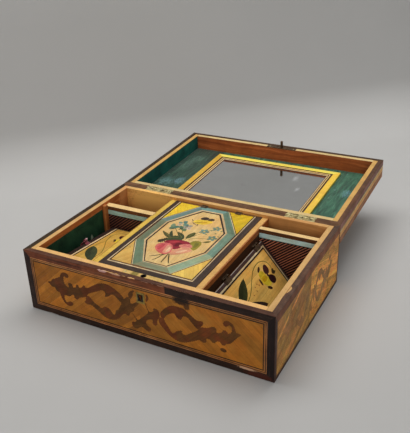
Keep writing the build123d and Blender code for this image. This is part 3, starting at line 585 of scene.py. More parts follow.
def bands(sheet, face, poly, steps, h0, h1, seed=1, wobble=0.10, jitter=0.06, slot=0, joint=70.0, gaps=None, bites=None, inner_bites=None, paint=None):
    """Strips that frame a field: steps is a list of (width, tint), from the outside
    in. Neighbouring strips share their wavering edges. gaps are {side: [(from, to)]}
    stretches that are left out. Returns the inner polygon."""
    rnd = random.Random(seed)
    outer = poly
    edges = edge_paths(outer, rnd, 0.0, bites=bites)
    for k, (width, tint) in enumerate(steps):
        inner = inset(outer, width)
        last = k == len(steps) - 1
        inner_edges = edge_paths(inner, rnd, wobble * (0.7 if last else 1.0), bites=inner_bites if last else None, out=-1.0)
        for i in range(len(poly)):
            a, b = edges[i], inner_edges[i]
            (ax, ay), (bx, by) = outer[i], outer[(i + 1) % len(poly)]
            deg = math.degrees(math.atan2(by - ay, bx - ax))
            length = math.hypot(bx - ax, by - ay)
            strip = a + list(reversed(b))
            cuts = max(1, int(length / joint + rnd.random()))
            ux, uy = (bx - ax) / length, (by - ay) / length
            holes = (gaps or {}).get(i, ())
            marks = [0.0] + sorted(length * (j + rnd.uniform(-0.3, 0.3)) / cuts for j in range(1, cuts)) + [length]
            marks = sorted(set([m for m in marks if not any(g0 <= m <= g1 for g0, g1 in holes)] + [g for pair in holes for g in pair]))
            o = ax * ux + ay * uy
            for m0, m1 in zip(marks, marks[1:]):
                if any(g0 <= (m0 + m1) / 2 <= g1 for g0, g1 in holes):
                    continue
                piece = strip
                if m0 > 0:
                    piece = clip(piece, -ux, -uy, -(o + m0 + 0.02))
                if m1 < length:
                    piece = clip(piece, ux, uy, o + m1 - 0.02)
                t = paint(k, i, (m0 + m1) / 2, tint, rnd) if paint else tint
                t = shift(t, 1 + rnd.uniform(-jitter, jitter), rnd.uniform(-0.02, 0.02))
                sheet.plate(face, piece, h0, h1, t, deg, slot=slot)
        outer, edges = inner, inner_edges
    return outer


def between(sheet, face, outer, inner, h0, h1, tints, seed, slot=0, jitter=0.04):
    """A ring of strips between two polygons with the same number of corners."""
    rnd = random.Random(seed)
    n = len(outer)
    for i in range(n):
        j = (i + 1) % n
        (ax, ay), (bx, by) = outer[i], outer[j]
        deg = math.degrees(math.atan2(by - ay, bx - ax))
        t = tints[i] if isinstance(tints, list) else tints
        sheet.plate(face, [outer[i], outer[j], inner[j], inner[i]], h0, h1, shift(t, 1 + rnd.uniform(-jitter, jitter)), deg, slot=slot)


def strips(sheet, face, poly, deg, width, h0, h1, tint, seed=1, jitter=0.10, warm=0.03, slot=0, gap=0.03, vary=0.25, hole=None):
    """A convex field laid with strips of straw that run at deg."""
    rnd = random.Random(seed)
    a = math.radians(deg)
    nx, ny = -math.sin(a), math.cos(a)
    lo = min(nx * u + ny * v for u, v in poly)
    hi = max(nx * u + ny * v for u, v in poly)
    s = lo - rnd.random() * width
    while s < hi:
        w = width * (1 + rnd.uniform(-vary, vary))
        piece = clip(clip(poly, -nx, -ny, -(s + gap)), nx, ny, s + w - gap)
        t = tint(rnd, piece) if callable(tint) else tint
        t = shift(t, 1 + rnd.gauss(0, jitter), rnd.uniform(-warm, warm))
        turn, num = deg + rnd.uniform(-1.5, 1.5), rnd.random() * 40
        for p in without(piece, hole) if hole and len(piece) > 2 else [piece]:
            sheet.plate(face, p, h0, h1, t, turn, seed=num, slot=slot)
        s += w


def smooth(points, times=2):
    """Rounds a drawn outline (Chaikin's corners, kept close to the points)."""
    pts = list(points)
    for _ in range(times):
        out = []
        n = len(pts)
        for i in range(n):
            p, q = pts[i], pts[(i + 1) % n]
            out.append((0.78 * p[0] + 0.22 * q[0], 0.78 * p[1] + 0.22 * q[1]))
            out.append((0.22 * p[0] + 0.78 * q[0], 0.22 * p[1] + 0.78 * q[1]))
        pts = out
    return pts


def spline(points, n=6):
    """A smooth open curve through the points (Catmull-Rom)."""
    p = [points[0]] + list(points) + [points[-1]]
    out = []
    for i in range(1, len(p) - 2):
        for j in range(n):
            t = j / n
            out.append(tuple(
                0.5 * (2 * p[i][k] + (p[i + 1][k] - p[i - 1][k]) * t
                       + (2 * p[i - 1][k] - 5 * p[i][k] + 4 * p[i + 1][k] - p[i + 2][k]) * t * t
                       + (3 * p[i][k] - p[i - 1][k] - 3 * p[i + 1][k] + p[i + 2][k]) * t ** 3)
                for k in range(2)))
    out.append(tuple(points[-1]))
    return out


def stroke(points, width, taper=0.0):
    """The outline of a line along a smooth path, thinner at its ends by taper."""
    pts = spline(points)
    n = len(pts)
    left, right = [], []
    for i in range(n):
        p0, p1 = pts[max(0, i - 1)], pts[min(n - 1, i + 1)]
        dx, dy = p1[0] - p0[0], p1[1] - p0[1]
        length = math.hypot(dx, dy) or 1.0
        nx, ny = -dy / length, dx / length
        w = width * (1 - taper * abs(2 * i / (n - 1) - 1) ** 3)
        left.append((pts[i][0] + nx * w / 2, pts[i][1] + ny * w / 2))
        right.append((pts[i][0] - nx * w / 2, pts[i][1] - ny * w / 2))
    return left + list(reversed(right))


def leaf(base, tip, width, bend=0.0, belly=0.42, n=12):
    """A pointed leaf from base to tip: its two halves."""
    bx, by = base
    dx, dy = tip[0] - bx, tip[1] - by
    length = math.hypot(dx, dy)
    ux, uy = dx / length, dy / length
    nx, ny = -uy, ux
    mid, left, right = [], [], []
    for i in range(n + 1):
        t = i / n
        off = bend * length * 4 * t * (1 - t)
        w = width / 2 * (math.sin(math.pi * t ** (math.log(0.5) / math.log(belly))) ** 0.85 if 0 < t < 1 else 0)
        cx, cy = bx + ux * length * t + nx * off, by + uy * length * t + ny * off
        mid.append((cx, cy))
        left.append((cx + nx * w, cy + ny * w))
        right.append((cx - nx * w, cy - ny * w))
    return mid + left[-2:0:-1], mid + right[-2:0:-1]


def oval(cx, cy, rx, ry, deg=0.0, n=18, lobes=0, depth=0.0, phase=0.0):
    a = math.radians(deg)
    out = []
    for i in range(n):
        t = 2 * math.pi * i / n
        r = 1 + depth * math.cos(lobes * t + phase)
        x, y = rx * r * math.cos(t), ry * r * math.sin(t)
        out.append((cx + x * math.cos(a) - y * math.sin(a), cy + x * math.sin(a) + y * math.cos(a)))
    return out


# ------------------------------------------------------------------ materials
FRONT_BLOTS = (
    ((50.0, -100.0, 65.5), (9.5, 9.0, 4.6), (22, 14, 10), 0.92),
    ((56.0, -100.0, 60.0), (3.4, 9.0, 3.4), (30, 18, 12), 0.8),
    ((-30.0, -100.0, 71.0), (34.0, 9.0, 2.2), (150, 100, 70), 0.30),
    ((121.0, -100.0, 6.8), (9.0, 9.0, 1.3), (214, 168, 132), 0.85),
    ((134.0, -100.0, 3.0), (14.0, 9.0, 3.6), (92, 34, 20), 0.5),
    ((-96.0, -100.0, 72.6), (30.0, 9.0, 0.9), (40, 20, 12), 0.6),
    ((-20.0, -100.0, 71.0), (40.0, 9.0, 0.8), (44, 22, 14), 0.6),
)
M_BORDER = straw("straw_border", width=3.0, tone=0.20, fibre=0.26, grime=0.35, rough=0.45, spec=0.22, streak=0.35, blots=FRONT_BLOTS)
M_FIELD = straw("straw_field", width=5.2, tone=0.07, fibre=0.12, grime=0.20, rough=0.46, spec=0.22, mottle=0.08, varnish=0.16, drift=((255, 246, 232), (255, 255, 255)),
                blots=FRONT_BLOTS[:2] + (((70.0, -100.0, 50.0), (10.0, 9.0, 7.0), (168, 122, 54), 0.35), ((-8.0, -100.0, 20.0), (20.0, 9.0, 8.0), (120, 72, 28), 0.3)))
M_SIDE = straw("straw_watered", width=4.2, tone=0.06, fibre=0.14, grime=0.22, rough=0.46, spec=0.22, varnish=0.06, water=0.28, drift=((255, 238, 222), (244, 250, 226)))
M_LINE = straw("straw_line", width=4.0, tone=0.06, fibre=0.14, grime=0.30, rough=0.45, spec=0.25)
M_INNER = straw("straw_inner", width=3.0, tone=0.05, fibre=0.10, grime=0.12, rough=0.42, spec=0.25, fleck=0.22)
M_DYED = straw("straw_dyed", width=3.2, tone=0.12, fibre=0.20, grime=0.16, rough=0.36, spec=0.32, aniso=0.65, streak=0.25)
M_INBORDER = straw("straw_inner_border", width=2.6, tone=0.22, fibre=0.30, grime=0.25, rough=0.40, spec=0.30, streak=0.30)
M_MOTIF = straw("straw_motif", width=2.6, tone=0.10, fibre=0.14, grime=0.20, rough=0.45, spec=0.22)
M_SCROLL = straw("straw_scroll", width=2.6, tone=0.15, fibre=0.22, grime=0.22, rough=0.46, spec=0.2, mottle=0.15, drift=((228, 240, 214), (255, 226, 212)))
M_DIAG = straw("straw_diagonal", width=3.0, tone=0.10, fibre=0.16, grime=0.2, rough=0.42, spec=0.25)
M_FRAME = straw("straw_frame", width=3.4, tone=0.05, fibre=0.10, grime=0.12, rough=0.34, spec=0.4)

PALE, PALE_F, LID_PALE = (221, 176, 112), (242, 191, 121), (226, 197, 137)
CHIP = seen((178, 138, 116), K_FRONT)
UP, LUP = (0.0, 0.0, 1.0), tuple(LW)
M_WOOD_F = wood("wood_front", (178, 118, 62), (128, 76, 38), "x", "z", seed=1.0, worn=((UP, PALE_F, 0.35), ((0.0, -1.0, 0.0), CHIP, 0.6)), blots=(((-45.0, -100.0, 75.6), (7.0, 3.0, 2.2), seen((170, 134, 134), K_FRONT), 0.6),))
M_WOOD_S = wood("wood_sides", (216, 128, 62), (160, 84, 38), "y", "z", seed=7.0, worn=((UP, PALE, 0.35),), blots=(((-138.0, 86.0, 66.0), (9.0, 16.0, 16.0), (214, 152, 92), 0.75),))
# In wood_back the first blot is a painted pool of light on the left half of the back wall, and the second is painted
# shade on its right half.
M_WOOD_B = wood("wood_back", (240, 178, 104), (200, 134, 68), "x", "z", seed=3.0, worn=((UP, PALE, 0.4),), blots=(((-100.0, 88.0, 50.0), (40.0, 9.0, 34.0), (255, 195, 104), 0.9), ((100.0, 88.0, 60.0), (40.0, 9.0, 30.0), (206, 140, 78), 0.6)))
M_PART_L = wood("wood_left_partition", (196, 122, 60), (146, 84, 38), "y", "z", seed=11.0, worn=((UP, (232, 192, 82), 0.4),), blots=(((-69.1, 0.0, 73.0), (1.5, 130.0, 1.2), (150, 104, 42), 0.8),))
M_PART_R = wood("wood_right_partition", (206, 126, 62), (150, 80, 36), "y", "z", seed=13.0, worn=((UP, (228, 178, 104), 0.5),), blots=(((65.6, 0.0, 73.0), (1.9, 130.0, 1.2), (148, 78, 36), 0.85), ((65.6, 0.0, 66.0), (1.0, 130.0, 6.5), (196, 112, 54), 0.5)))
M_CROSS = wood("wood_cross", (120, 72, 38), (84, 48, 24), "x", "z", seed=17.0, worn=((UP, (246, 209, 144), 0.3),))
M_POST = wood("wood_posts", (214, 138, 74), (150, 84, 40), "z", "x", seed=5.0)
M_LIDWOOD_X = wood("wood_lid_ends", (196, 108, 56), (132, 64, 28), "x", "z", seed=19.0, worn=((LUP, LID_PALE, 0.4),))
M_LIDWOOD_Y = wood("wood_lid_sides", (150, 92, 48), (104, 58, 28), "y", "z", seed=23.0, worn=((LUP, (218, 172, 98), 0.4),))
M_BOTTOM = wood("wood_bottom", (176, 128, 76), (136, 92, 52), "x", "y", seed=29.0)
M_LIDBOARD = wood("wood_small_lids", (170, 118, 66), (126, 80, 42), "y", "x", seed=31.0)
M_TOPBOARD = wood("wood_lid_board", (150, 96, 52), (108, 62, 30), "x", "y", seed=37.0)
M_GREEN = paper("paper_green", (40, 79, 52), (19, 49, 33), seed=1.0, blots=(((-137.8, 4.4, 43.0), (6.0, 2.2, 3.4), (180, 190, 160), 0.8),))
M_GREEN_R = paper("paper_right", (40, 79, 52), (19, 49, 33), seed=4.0, side=(67.5, (74, 44, 24)))
M_WALLGREEN = paper("paper_lid_wall", (27, 99, 88), (14, 63, 58), seed=2.0)
M_BACKING = paper("paper_backing", (150, 120, 84), (110, 84, 56), seed=3.0)


def hinge_slot_shade(t, colour, x, y, z, fine):
    """Painted shade: dark slots along the old hinges."""
    n = t.noise(t.vec(t.math("MULTIPLY", x, 0.16), t.math("MULTIPLY", y, 0.55), 3.0), 1.0, 3.0, 0.6, 0.8)
    return t.mix(t.remap(n, 0.52, 0.60, 0.0, 0.75, True), colour, lin((66, 50, 30)))


def lock_stain_and_shade(t, colour, x, y, z, fine):
    """Olive where the selvedge is stained; painted shade: black round the hole and inside the case."""
    d = t.remap(t.math("ABSOLUTE", t.math("ADD", x, 8.5)), 2.5, 5.0, 0.85, 0.0, True)
    colour = t.mix(d, colour, lin((128, 112, 44)))
    dx, dy = t.math("SUBTRACT", x, 2.0), t.math("ADD", y, 91.1)
    r = t.math("SQRT", t.math("ADD", t.math("MULTIPLY", dx, dx), t.math("MULTIPLY", dy, dy)))
    colour = t.mix(t.remap(r, 3.0, 3.5, 1.0, 0.0, True), colour, lin((30, 20, 12)))
    return t.mix(t.remap(z, 75.9, 76.3, 1.0, 0.0), colour, lin((26, 18, 12)))


def escutcheon_keyhole_shade(t, colour, x, y, z, fine):
    """Painted shade: black round the keyhole, with the plate's brass left only along its edge."""
    ax = t.math("DIVIDE", t.math("ABSOLUTE", t.math("SUBTRACT", x, 2.0)), 5.0)
    az = t.math("DIVIDE", t.math("ABSOLUTE", t.math("SUBTRACT", z, 55.6)), 6.5)
    r = t.math("ADD", t.math("MAXIMUM", ax, az), t.remap(fine, 0.3, 0.7, -0.07, 0.07))
    return t.mix(t.remap(r, 0.60, 0.72, 1.0, 0.0, True), colour, lin((20, 14, 9)))


M_BRASS = metal("brass_hinges", (216, 202, 150), (136, 122, 76), 0.8, 0.46, metallic=0.55, extra=hinge_slot_shade)
M_BRASS2 = metal("brass_lock", (226, 188, 112), (190, 156, 84), 0.85, 0.46, metallic=0.4, extra=lock_stain_and_shade)
M_PLATE = metal("brass_escutcheon", (160, 132, 52), (100, 80, 34), 0.8, 0.46, metallic=0.15, extra=escutcheon_keyhole_shade)
M_IRON = metal("iron_small", (104, 82, 60), (60, 40, 26), 0.8, 0.5, metallic=0.7)
M_STEEL = metal("steel_lock", (120, 116, 110), (70, 52, 40), 0.6, 0.4)

FLAT = {
    "bottom_board": (M_BOTTOM, 0.5), "front_board": (M_WOOD_F, 0.8), "back_board": (M_WOOD_B, 0.6),
    "left_board": (M_WOOD_S, 0.8), "right_board": (M_WOOD_S, 0.8),
    "left_partition": (M_PART_L, 0.6), "right_partition": (M_PART_R, 0.6),
    "left_cross_divider": (M_CROSS, 0.5), "right_cross_divider": (M_CROSS, 0.5),
    "centre_lid_ledges": (M_PART_R, 0.3), "left_lid_posts": (M_POST, 0.4),
    "left_compartment_paper": (M_GREEN, 0), "right_compartment_paper": (M_GREEN_R, 0), "centre_compartment_paper": (M_GREEN, 0),
    "main_hinge_base_leaves": (M_BRASS, 0.12), "main_hinge_lid_leaves": (M_BRASS, 0.12), "main_hinge_pins": (M_IRON, 0.1),
    "base_nails": (M_BRASS, 0.1), "lid_nails": (M_BRASS, 0.1),
    "lock_case": (M_BRASS2, 0.12), "lock_cap": (M_BRASS2, 0.08), "lock_key_post": (M_STEEL, 0.1), "lock_bolt": (M_STEEL, 0.15),
    "lock_spring": (M_STEEL, 0.05), "keyhole_escutcheon": (M_PLATE, 0.08),
    "inner_hinge_fixed_leaves": (M_IRON, 0.06), "inner_hinge_pins": (M_IRON, 0), "centre_hinge_lid_leaves": (M_IRON, 0.06),
    "left_hinge_lid_leaves": (M_IRON, 0.06), "right_hinge_lid_leaves": (M_IRON, 0.06),
    "centre_lid_board": (M_LIDBOARD, 0.3), "left_lid_board": (M_LIDBOARD, 0.3), "right_lid_board": (M_LIDBOARD, 0.3),
    "lid_top_board": (M_TOPBOARD, 0.3), "lid_back_board": (M_LIDWOOD_X, 0.6), "lid_front_board": (M_LIDWOOD_X, 0.6),
    "lid_left_board": (M_LIDWOOD_Y, 0.6), "lid_right_board": (M_LIDWOOD_Y, 0.6), "lid_wall_paper": (M_WALLGREEN, 0),
    "mirror_backing": (M_BACKING, 0), "lid_catch_plate": (M_IRON, 0.12), "lid_catch_pin": (M_IRON, 0.15),
}
for node, (mat, bevel) in FLAT.items():
    o = NODES[node]
    o.data.materials.clear()
    o.data.materials.append(mat)
    o.data.polygons.foreach_set("material_index", [0] * len(o.data.polygons))
    if bevel:
        w = o.modifiers.new("weld", "WELD")
        w.merge_threshold = 0.000002
        b = o.modifiers.new("arris", "BEVEL")
        b.width = bevel * 0.001
        b.segments = 2
        b.limit_method = "ANGLE"
        b.angle_limit = math.radians(35)
        b.use_clamp_overlap = True

# ------------------------------------------------------------------ the scroll ornament
# Acanthus scrollwork of the outer panels, drawn on a grid of 12.5 units to the
# millimetre from the left end and the top of a 300 x 77 panel.
SCROLL_A = [
    (358, 432), (385, 415), (425, 408), (440, 380), (470, 352), (500, 348), (520, 325), (550, 318), (565, 300), (590, 300),
    (598, 275), (615, 240), (640, 212), (675, 198), (715, 200), (745, 215), (755, 240), (745, 268), (715, 282), (690, 272),
    (672, 262), (662, 285), (655, 330), (660, 370), (680, 400), (700, 420), (722, 428), (735, 412), (725, 385), (725, 362),
    (745, 345), (775, 345), (800, 362), (805, 390), (815, 405), (840, 395), (860, 385), (855, 360), (870, 342), (895, 338),
    (910, 352), (905, 372), (925, 380), (950, 365), (972, 345), (985, 325), (1005, 318), (1018, 330), (1022, 348), (1060, 345),
    (1110, 310), (1160, 275), (1215, 240), (1275, 212), (1340, 198), (1400, 198), (1460, 215), (1520, 245), (1580, 285),
    (1625, 322), (1640, 350), (1625, 385), (1600, 420), (1572, 424), (1545, 395), (1500, 355), (1470, 340), (1440, 345),
    (1412, 375), (1380, 395), (1345, 410), (1328, 402), (1342, 380), (1345, 350), (1330, 325), (1290, 318), (1255, 335),
    (1225, 355), (1190, 370), (1150, 390), (1110, 410), (1075, 430), (1050, 450), (1035, 470), (1010, 500), (975, 520),
    (930, 535), (900, 545), (885, 560), (870, 580), (845, 592), (815, 585), (800, 565), (805, 545), (800, 530), (780, 530),
    (760, 548), (745, 565), (715, 578), (685, 575), (660, 575), (645, 575), (632, 590), (628, 620), (632, 650), (645, 680),
    (665, 690), (690, 670), (715, 655), (745, 655), (765, 668), (772, 690), (755, 715), (725, 735), (690, 742), (655, 735),
    (620, 710), (590, 670), (572, 630), (562, 590), (555, 560), (540, 552), (510, 548), (490, 530), (485, 505), (470, 492),
    (440, 495), (415, 485), (400, 465), (380, 450)]
SCROLL_B = [
    (1020, 476), (1060, 472), (1090, 500), (1120, 530), (1150, 560), (1185, 575), (1215, 590), (1240, 610), (1270, 605),
    (1290, 585), (1320, 568), (1350, 570), (1385, 585), (1410, 610), (1430, 640), (1450, 660), (1468, 645), (1480, 615),
    (1485, 590), (1500, 570), (1530, 555), (1550, 520), (1565, 485), (1590, 455), (1588, 425), (1600, 395), (1625, 365),
    (1660, 335), (1690, 308), (1715, 305), (1730, 330), (1735, 370), (1745, 395), (1770, 390), (1800, 370), (1830, 350),
    (1858, 345), (1870, 365), (1850, 395), (1820, 425), (1795, 450), (1790, 480), (1780, 510), (1750, 530), (1725, 540),
    (1715, 570), (1700, 600), (1680, 612), (1650, 600), (1640, 590), (1615, 600), (1590, 625), (1560, 665), (1530, 700),
    (1490, 730), (1440, 748), (1390, 758), (1340, 758), (1290, 745), (1250, 720), (1215, 690), (1175, 670), (1140, 645),
    (1110, 625), (1080, 610), (1050, 615), (1020, 622), (990, 610), (972, 590), (985, 570), (1005, 555), (1000, 535), (1006, 506)]
# right half, from the middle (0) to the right end, top at 0
SCROLL_C = [
    (345, 398), (380, 348), (420, 308), (470, 268), (520, 246), (570, 240), (620, 243), (670, 243), (705, 260), (740, 288),
    (790, 318), (830, 348), (870, 368), (905, 363), (930, 353), (955, 368), (955, 393), (940, 425), (916, 452), (893, 492),
    (868, 500), (840, 478), (810, 448), (780, 418), (750, 378), (720, 363), (690, 358), (665, 373), (650, 408), (630, 438),
    (605, 428), (580, 413), (560, 388), (550, 363), (520, 363), (480, 383), (440, 413), (400, 458), (384, 500), (352, 496),
    (335, 450), (332, 420)]
SCROLL_D = [
    (340, 478), (388, 480), (400, 528), (430, 568), (460, 618), (480, 658), (508, 676), (530, 658), (555, 628), (590, 608),
    (630, 590), (650, 598), (640, 623), (660, 643), (700, 643), (740, 608), (790, 573), (840, 538), (875, 508), (898, 468),
    (930, 444), (975, 442), (1020, 428), (1060, 403), (1090, 390), (1120, 393), (1138, 418), (1130, 448), (1142, 466),
    (1170, 458), (1200, 443), (1213, 418), (1225, 398), (1255, 393), (1280, 406), (1285, 428), (1310, 423), (1335, 398),
    (1345, 358), (1335, 318), (1312, 303), (1290, 318), (1270, 338), (1245, 338), (1225, 318), (1222, 293), (1240, 263),
    (1275, 243), (1315, 248), (1350, 268), (1375, 303), (1390, 348), (1394, 380), (1420, 386), (1448, 386), (1465, 402),
    (1440, 428), (1410, 458), (1390, 488), (1350, 538), (1320, 573), (1290, 588), (1262, 593), (1250, 618), (1225, 636),
    (1195, 626), (1185, 598), (1160, 588), (1130, 603), (1115, 628), (1085, 640), (1060, 628), (1045, 603), (1010, 598),
    (985, 608), (995, 638), (980, 668), (950, 683), (915, 668), (890, 653), (850, 678), (800, 708), (740, 738), (680, 768),
    (620, 780), (560, 776), (500, 753), (440, 718), (390, 668), (340, 618), (310, 578), (302, 528), (310, 490)]
SCROLL_E = [   # the middle: lobes at the foot and the stem that climbs to the right
    (-118, 690), (-95, 676), (-62, 672), (-45, 655), (-52, 625), (-75, 585), (-104, 545), (-98, 538), (-70, 575), (-40, 610),
    (-20, 628), (0, 618), (40, 578), (80, 538), (120, 498), (150, 468), (152, 440), (136, 413), (122, 368), (112, 320),
    (126, 318), (143, 400), (165, 438), (190, 443), (220, 428), (235, 408), (230, 378), (250, 366), (285, 366), (310, 383),
    (322, 408), (328, 440), (325, 478), (300, 518), (280, 558), (285, 598), (270, 628), (245, 638), (215, 628), (205, 598),
    (215, 573), (205, 558), (180, 558), (150, 573), (120, 598), (108, 628), (115, 658), (140, 683), (175, 698), (182, 728),
    (165, 758), (130, 766), (90, 753), (60, 728), (28, 722), (0, 740), (-30, 770), (-70, 778), (-105, 762), (-120, 728)]
SCROLL_F = [(-140, 262), (-118, 222), (-88, 196), (-52, 178), (-34, 186), (-44, 204), (-62, 222), (-64, 262), (-84, 300), (-104, 330), (-130, 318)]
SCROLL_G = [(138, 182), (165, 200), (178, 236), (166, 268), (146, 300), (128, 300), (128, 262), (140, 240), (130, 212)]
SCROLL_H = [(-118, 318), (-108, 316), (-116, 360), (-108, 420), (-86, 470), (-62, 512), (-70, 520), (-98, 480), (-122, 426), (-130, 368)]
SCROLL_I = [(1176, 694), (1196, 676), (1226, 670), (1256, 682), (1270, 704), (1256, 726), (1226, 734), (1196, 724), (1180, 710)]


def left_grid(points):
    return [(-150 + x / 12.5, 77 - y / 12.5) for x, y in points]


def mid_grid(points):
    return [(-2 + x / 12.5, 77 - y / 12.5) for x, y in points]


TEMPLATE = [left_grid(SCROLL_A), left_grid(SCROLL_B), mid_grid(SCROLL_C), mid_grid(SCROLL_D), mid_grid(SCROLL_E), mid_grid(SCROLL_I)]
EARS = [mid_grid(SCROLL_F), mid_grid(SCROLL_G), mid_grid(SCROLL_H)]


def ruffle(points, amp, step, seed=0):
    """Small lobes along a drawn outline."""
    rnd_ = random.Random(seed)
    n_pts, run_, phase = len(points), 0.0, rnd_.random()
    out = []
    for i in range(n_pts):
        p, q = points[i], points[(i + 1) % n_pts]
        d = math.hypot(q[0] - p[0], q[1] - p[1])
        if d < 1e-6:
            continue
        nx, ny = (q[1] - p[1]) / d, (p[0] - q[0]) / d
        k = max(1, int(d * 5 / step))
        for j in range(k):
            f = j / k
            w = abs(math.sin(math.pi * ((run_ + f * d) / step + phase))) - 0.5
            out.append((p[0] + f * (q[0] - p[0]) + nx * amp * w, p[1] + f * (q[1] - p[1]) + ny * amp * w))
        run_ += d
    return out


def scrolls(sheet, face, su, sv, cu, cv, h0, h1, tint, seed=3, ears=True, flip=False, slot=1):
    """The ornament, scaled about its middle (0, 39) to a panel's own size."""
    rnd = random.Random(seed)
    for k, pts in enumerate(TEMPLATE + (EARS if ears else [])):
        out = []
        for u, v in smooth(pts, 2):
            uu = -u if flip else u
            out.append((cu + uu * su, cv + (v - 39.5) * sv))
        t = shift(tint, 1 + rnd.uniform(-0.08, 0.08), rnd.uniform(-0.02, 0.03))
        if len(out) > 60:
            out = ruffle(out, 0.62, 2.7, k)
        sheet.plate(face, out, h0, h1 + 0.006 * (k % 5), t, 24 + 20 * (k % 2), slot=slot)


# ------------------------------------------------------------------ outer panels of the base


def F(c):
    return seen(c, K_FRONT)


def S(c):
    return seen(c, K_SIDE)


LINES = [(0.9, (156, 104, 60)), (0.8, (48, 24, 14)), (1.4, (136, 90, 46)), (1.1, (36, 19, 11))]


def front_paint(k, side, s, tint, rnd):
    if k:
        return tint
    if side == 2:                                  # along the top, from the right end
        u = 149.4 - s
        return F((34, 21, 16)) if u > 36 else F(rnd.choice(((104, 56, 32), (92, 48, 28), (114, 66, 38))))
    if side == 0:
        return F(rnd.choice(((44, 26, 16), (38, 22, 14), (54, 30, 20))))
    return F((22, 10, 8)) if side == 1 else F((36, 20, 16))


def side_paint(k, side, s, tint, rnd):
    if k:
        return tint
    return S(rnd.choice(((113, 68, 42), (97, 57, 36), (127, 74, 45)))) if side == 2 else S((52, 32, 24))


def outer_panel(name, face, half, node, seed, light, ornament, su, sv, field, ears=False, flip=False, paint=None, bites=None, hole=None, side=False):
    """Border, lines, laid field and scrolls of one outer face of the base."""
    s = Sheet(name)
    if side:
        steps = [([3.4, 1.4, 7.8, 1.4] if flip else [3.4, 1.4, 7.8, 4.2], (84, 50, 38)), (0.7, light((112, 80, 50))), (0.6, light((44, 26, 18)))]
    else:
        steps = [(7.6, (84, 50, 38))] + [(w, light(c)) for w, c in LINES]
    inner = bands(s, face, rect(-half, half, 0.0, 76.5), steps, -0.6, -0.02, seed=seed, wobble=0.10, paint=paint, bites=bites, joint=85)
    # the stems of the field run down towards the ends from the middle
    area = inset(inner, -0.25)
    for way in (-1, 1):
        part = clip(area, -way, 0.0, 0.0)

        def tone(r, piece):
            f = r.choice((1.0, 1.0, 1.06, 0.94, 1.1))
            if side:
                # the straw is paler towards the rear, where hands touch it less
                back = sum(p[0] for p in piece) / len(piece) * (-1 if flip else 1)
                f *= 0.93 + 0.24 * min(1.0, max(0.0, (back + 50.0) / 110.0))
            return shift(light(field), f, r.uniform(-0.015, 0.012))

        strips(s, face, part, (-18 if side else -42) * way, 5.0 if side else 6.4, -0.55, -0.08, tone, seed=seed + 5 + way, jitter=0.06, warm=0.012, slot=1, hole=hole)
    scrolls(s, face, su, sv, 0.0, 39.5, -0.078, -0.055, light(ornament), seed, ears=ears, flip=flip, slot=2)
    return s.make([M_BORDER, M_SIDE, M_SIDE] if side else [M_BORDER, M_FIELD, M_SCROLL], "base", [node])


outer_panel("front_marquetry", FRONT, 149.4, "front_straw_panel", 21, F, (88, 52, 21), 1.0, 1.0, (137, 87, 27), ears=True,
            paint=front_paint, bites={2: [(59.4, 110.0, 0.35), (112.0, 150.0, 0.7), (152.0, 163.0, 1.1), (164.0, 185.0, 1.5), (187.0, 199.4, 2.2)], 0: [(20.0, 37.0, 0.8)]}, hole=(-3.0, 7.0, 49.0, 62.0))
outer_panel("back_marquetry", BACK, 149.4, "back_straw_panel", 33, F, (88, 52, 21), 1.0, 1.0, (137, 87, 27), paint=side_paint)
outer_panel("right_marquetry", RIGHT, 100.0, "right_straw_panel", 45, S, (136, 98, 52), 0.63, 0.96, (157, 113, 58), paint=side_paint, side=True)
outer_panel("left_marquetry", LEFT, 100.0, "left_straw_panel", 57, S, (136, 98, 52), 0.63, 0.96, (157, 113, 58), flip=True, paint=side_paint, side=True)

# ------------------------------------------------------------------ rims
s = Sheet("base_rim_straw")
hinge_gaps = [(150 - x - MAIN_L, 150 - x + MAIN_L) for x in MAIN_X]


def rim_paint(k, side, pos, tint, rnd):
    return {0: (96, 58, 40), 1: (94, 66, 50), 2: (104, 72, 46), 3: (62, 46, 26)}[side]


bands(s, RIM, rect(-150, 150, -100, 100), [(6.0, (92, 58, 50))], -0.5, 0.0, seed=5, wobble=0.2, joint=90, gaps={2: hinge_gaps},
      bites={0: [(98.0, 148.0, 1.9), (150.0, 238.0, 0.5)], 1: [(120.0, 131.0, 0.7)]}, inner_bites={1: [(34.0, 48.5, 2.3)], 0: [(170, 184, 0.8)]}, paint=rim_paint)
s.make([M_BORDER], "base", ["base_rim_banding"])
s = Sheet("lid_rim_straw")
lid_gaps = [(x + 150 - MAIN_L, x + 150 + MAIN_L) for x in MAIN_X]


def lid_rim_paint(k, side, pos, tint, rnd):
    return {0: (112, 78, 52), 1: (104, 70, 48), 2: (74, 52, 32), 3: (66, 48, 32)}[side]


bands(s, LID.up(LID_RIM), rect(-150, 150, 0.15, 200.15), [(6.0, (96, 60, 50))], -0.5, 0.0, seed=6, wobble=0.2, joint=90, gaps={0: lid_gaps},
      inner_bites={2: [(119.0, 165.0, -1.15)]}, paint=lid_rim_paint)
s.make([M_BORDER], "main_lid", ["lid_rim_banding"])

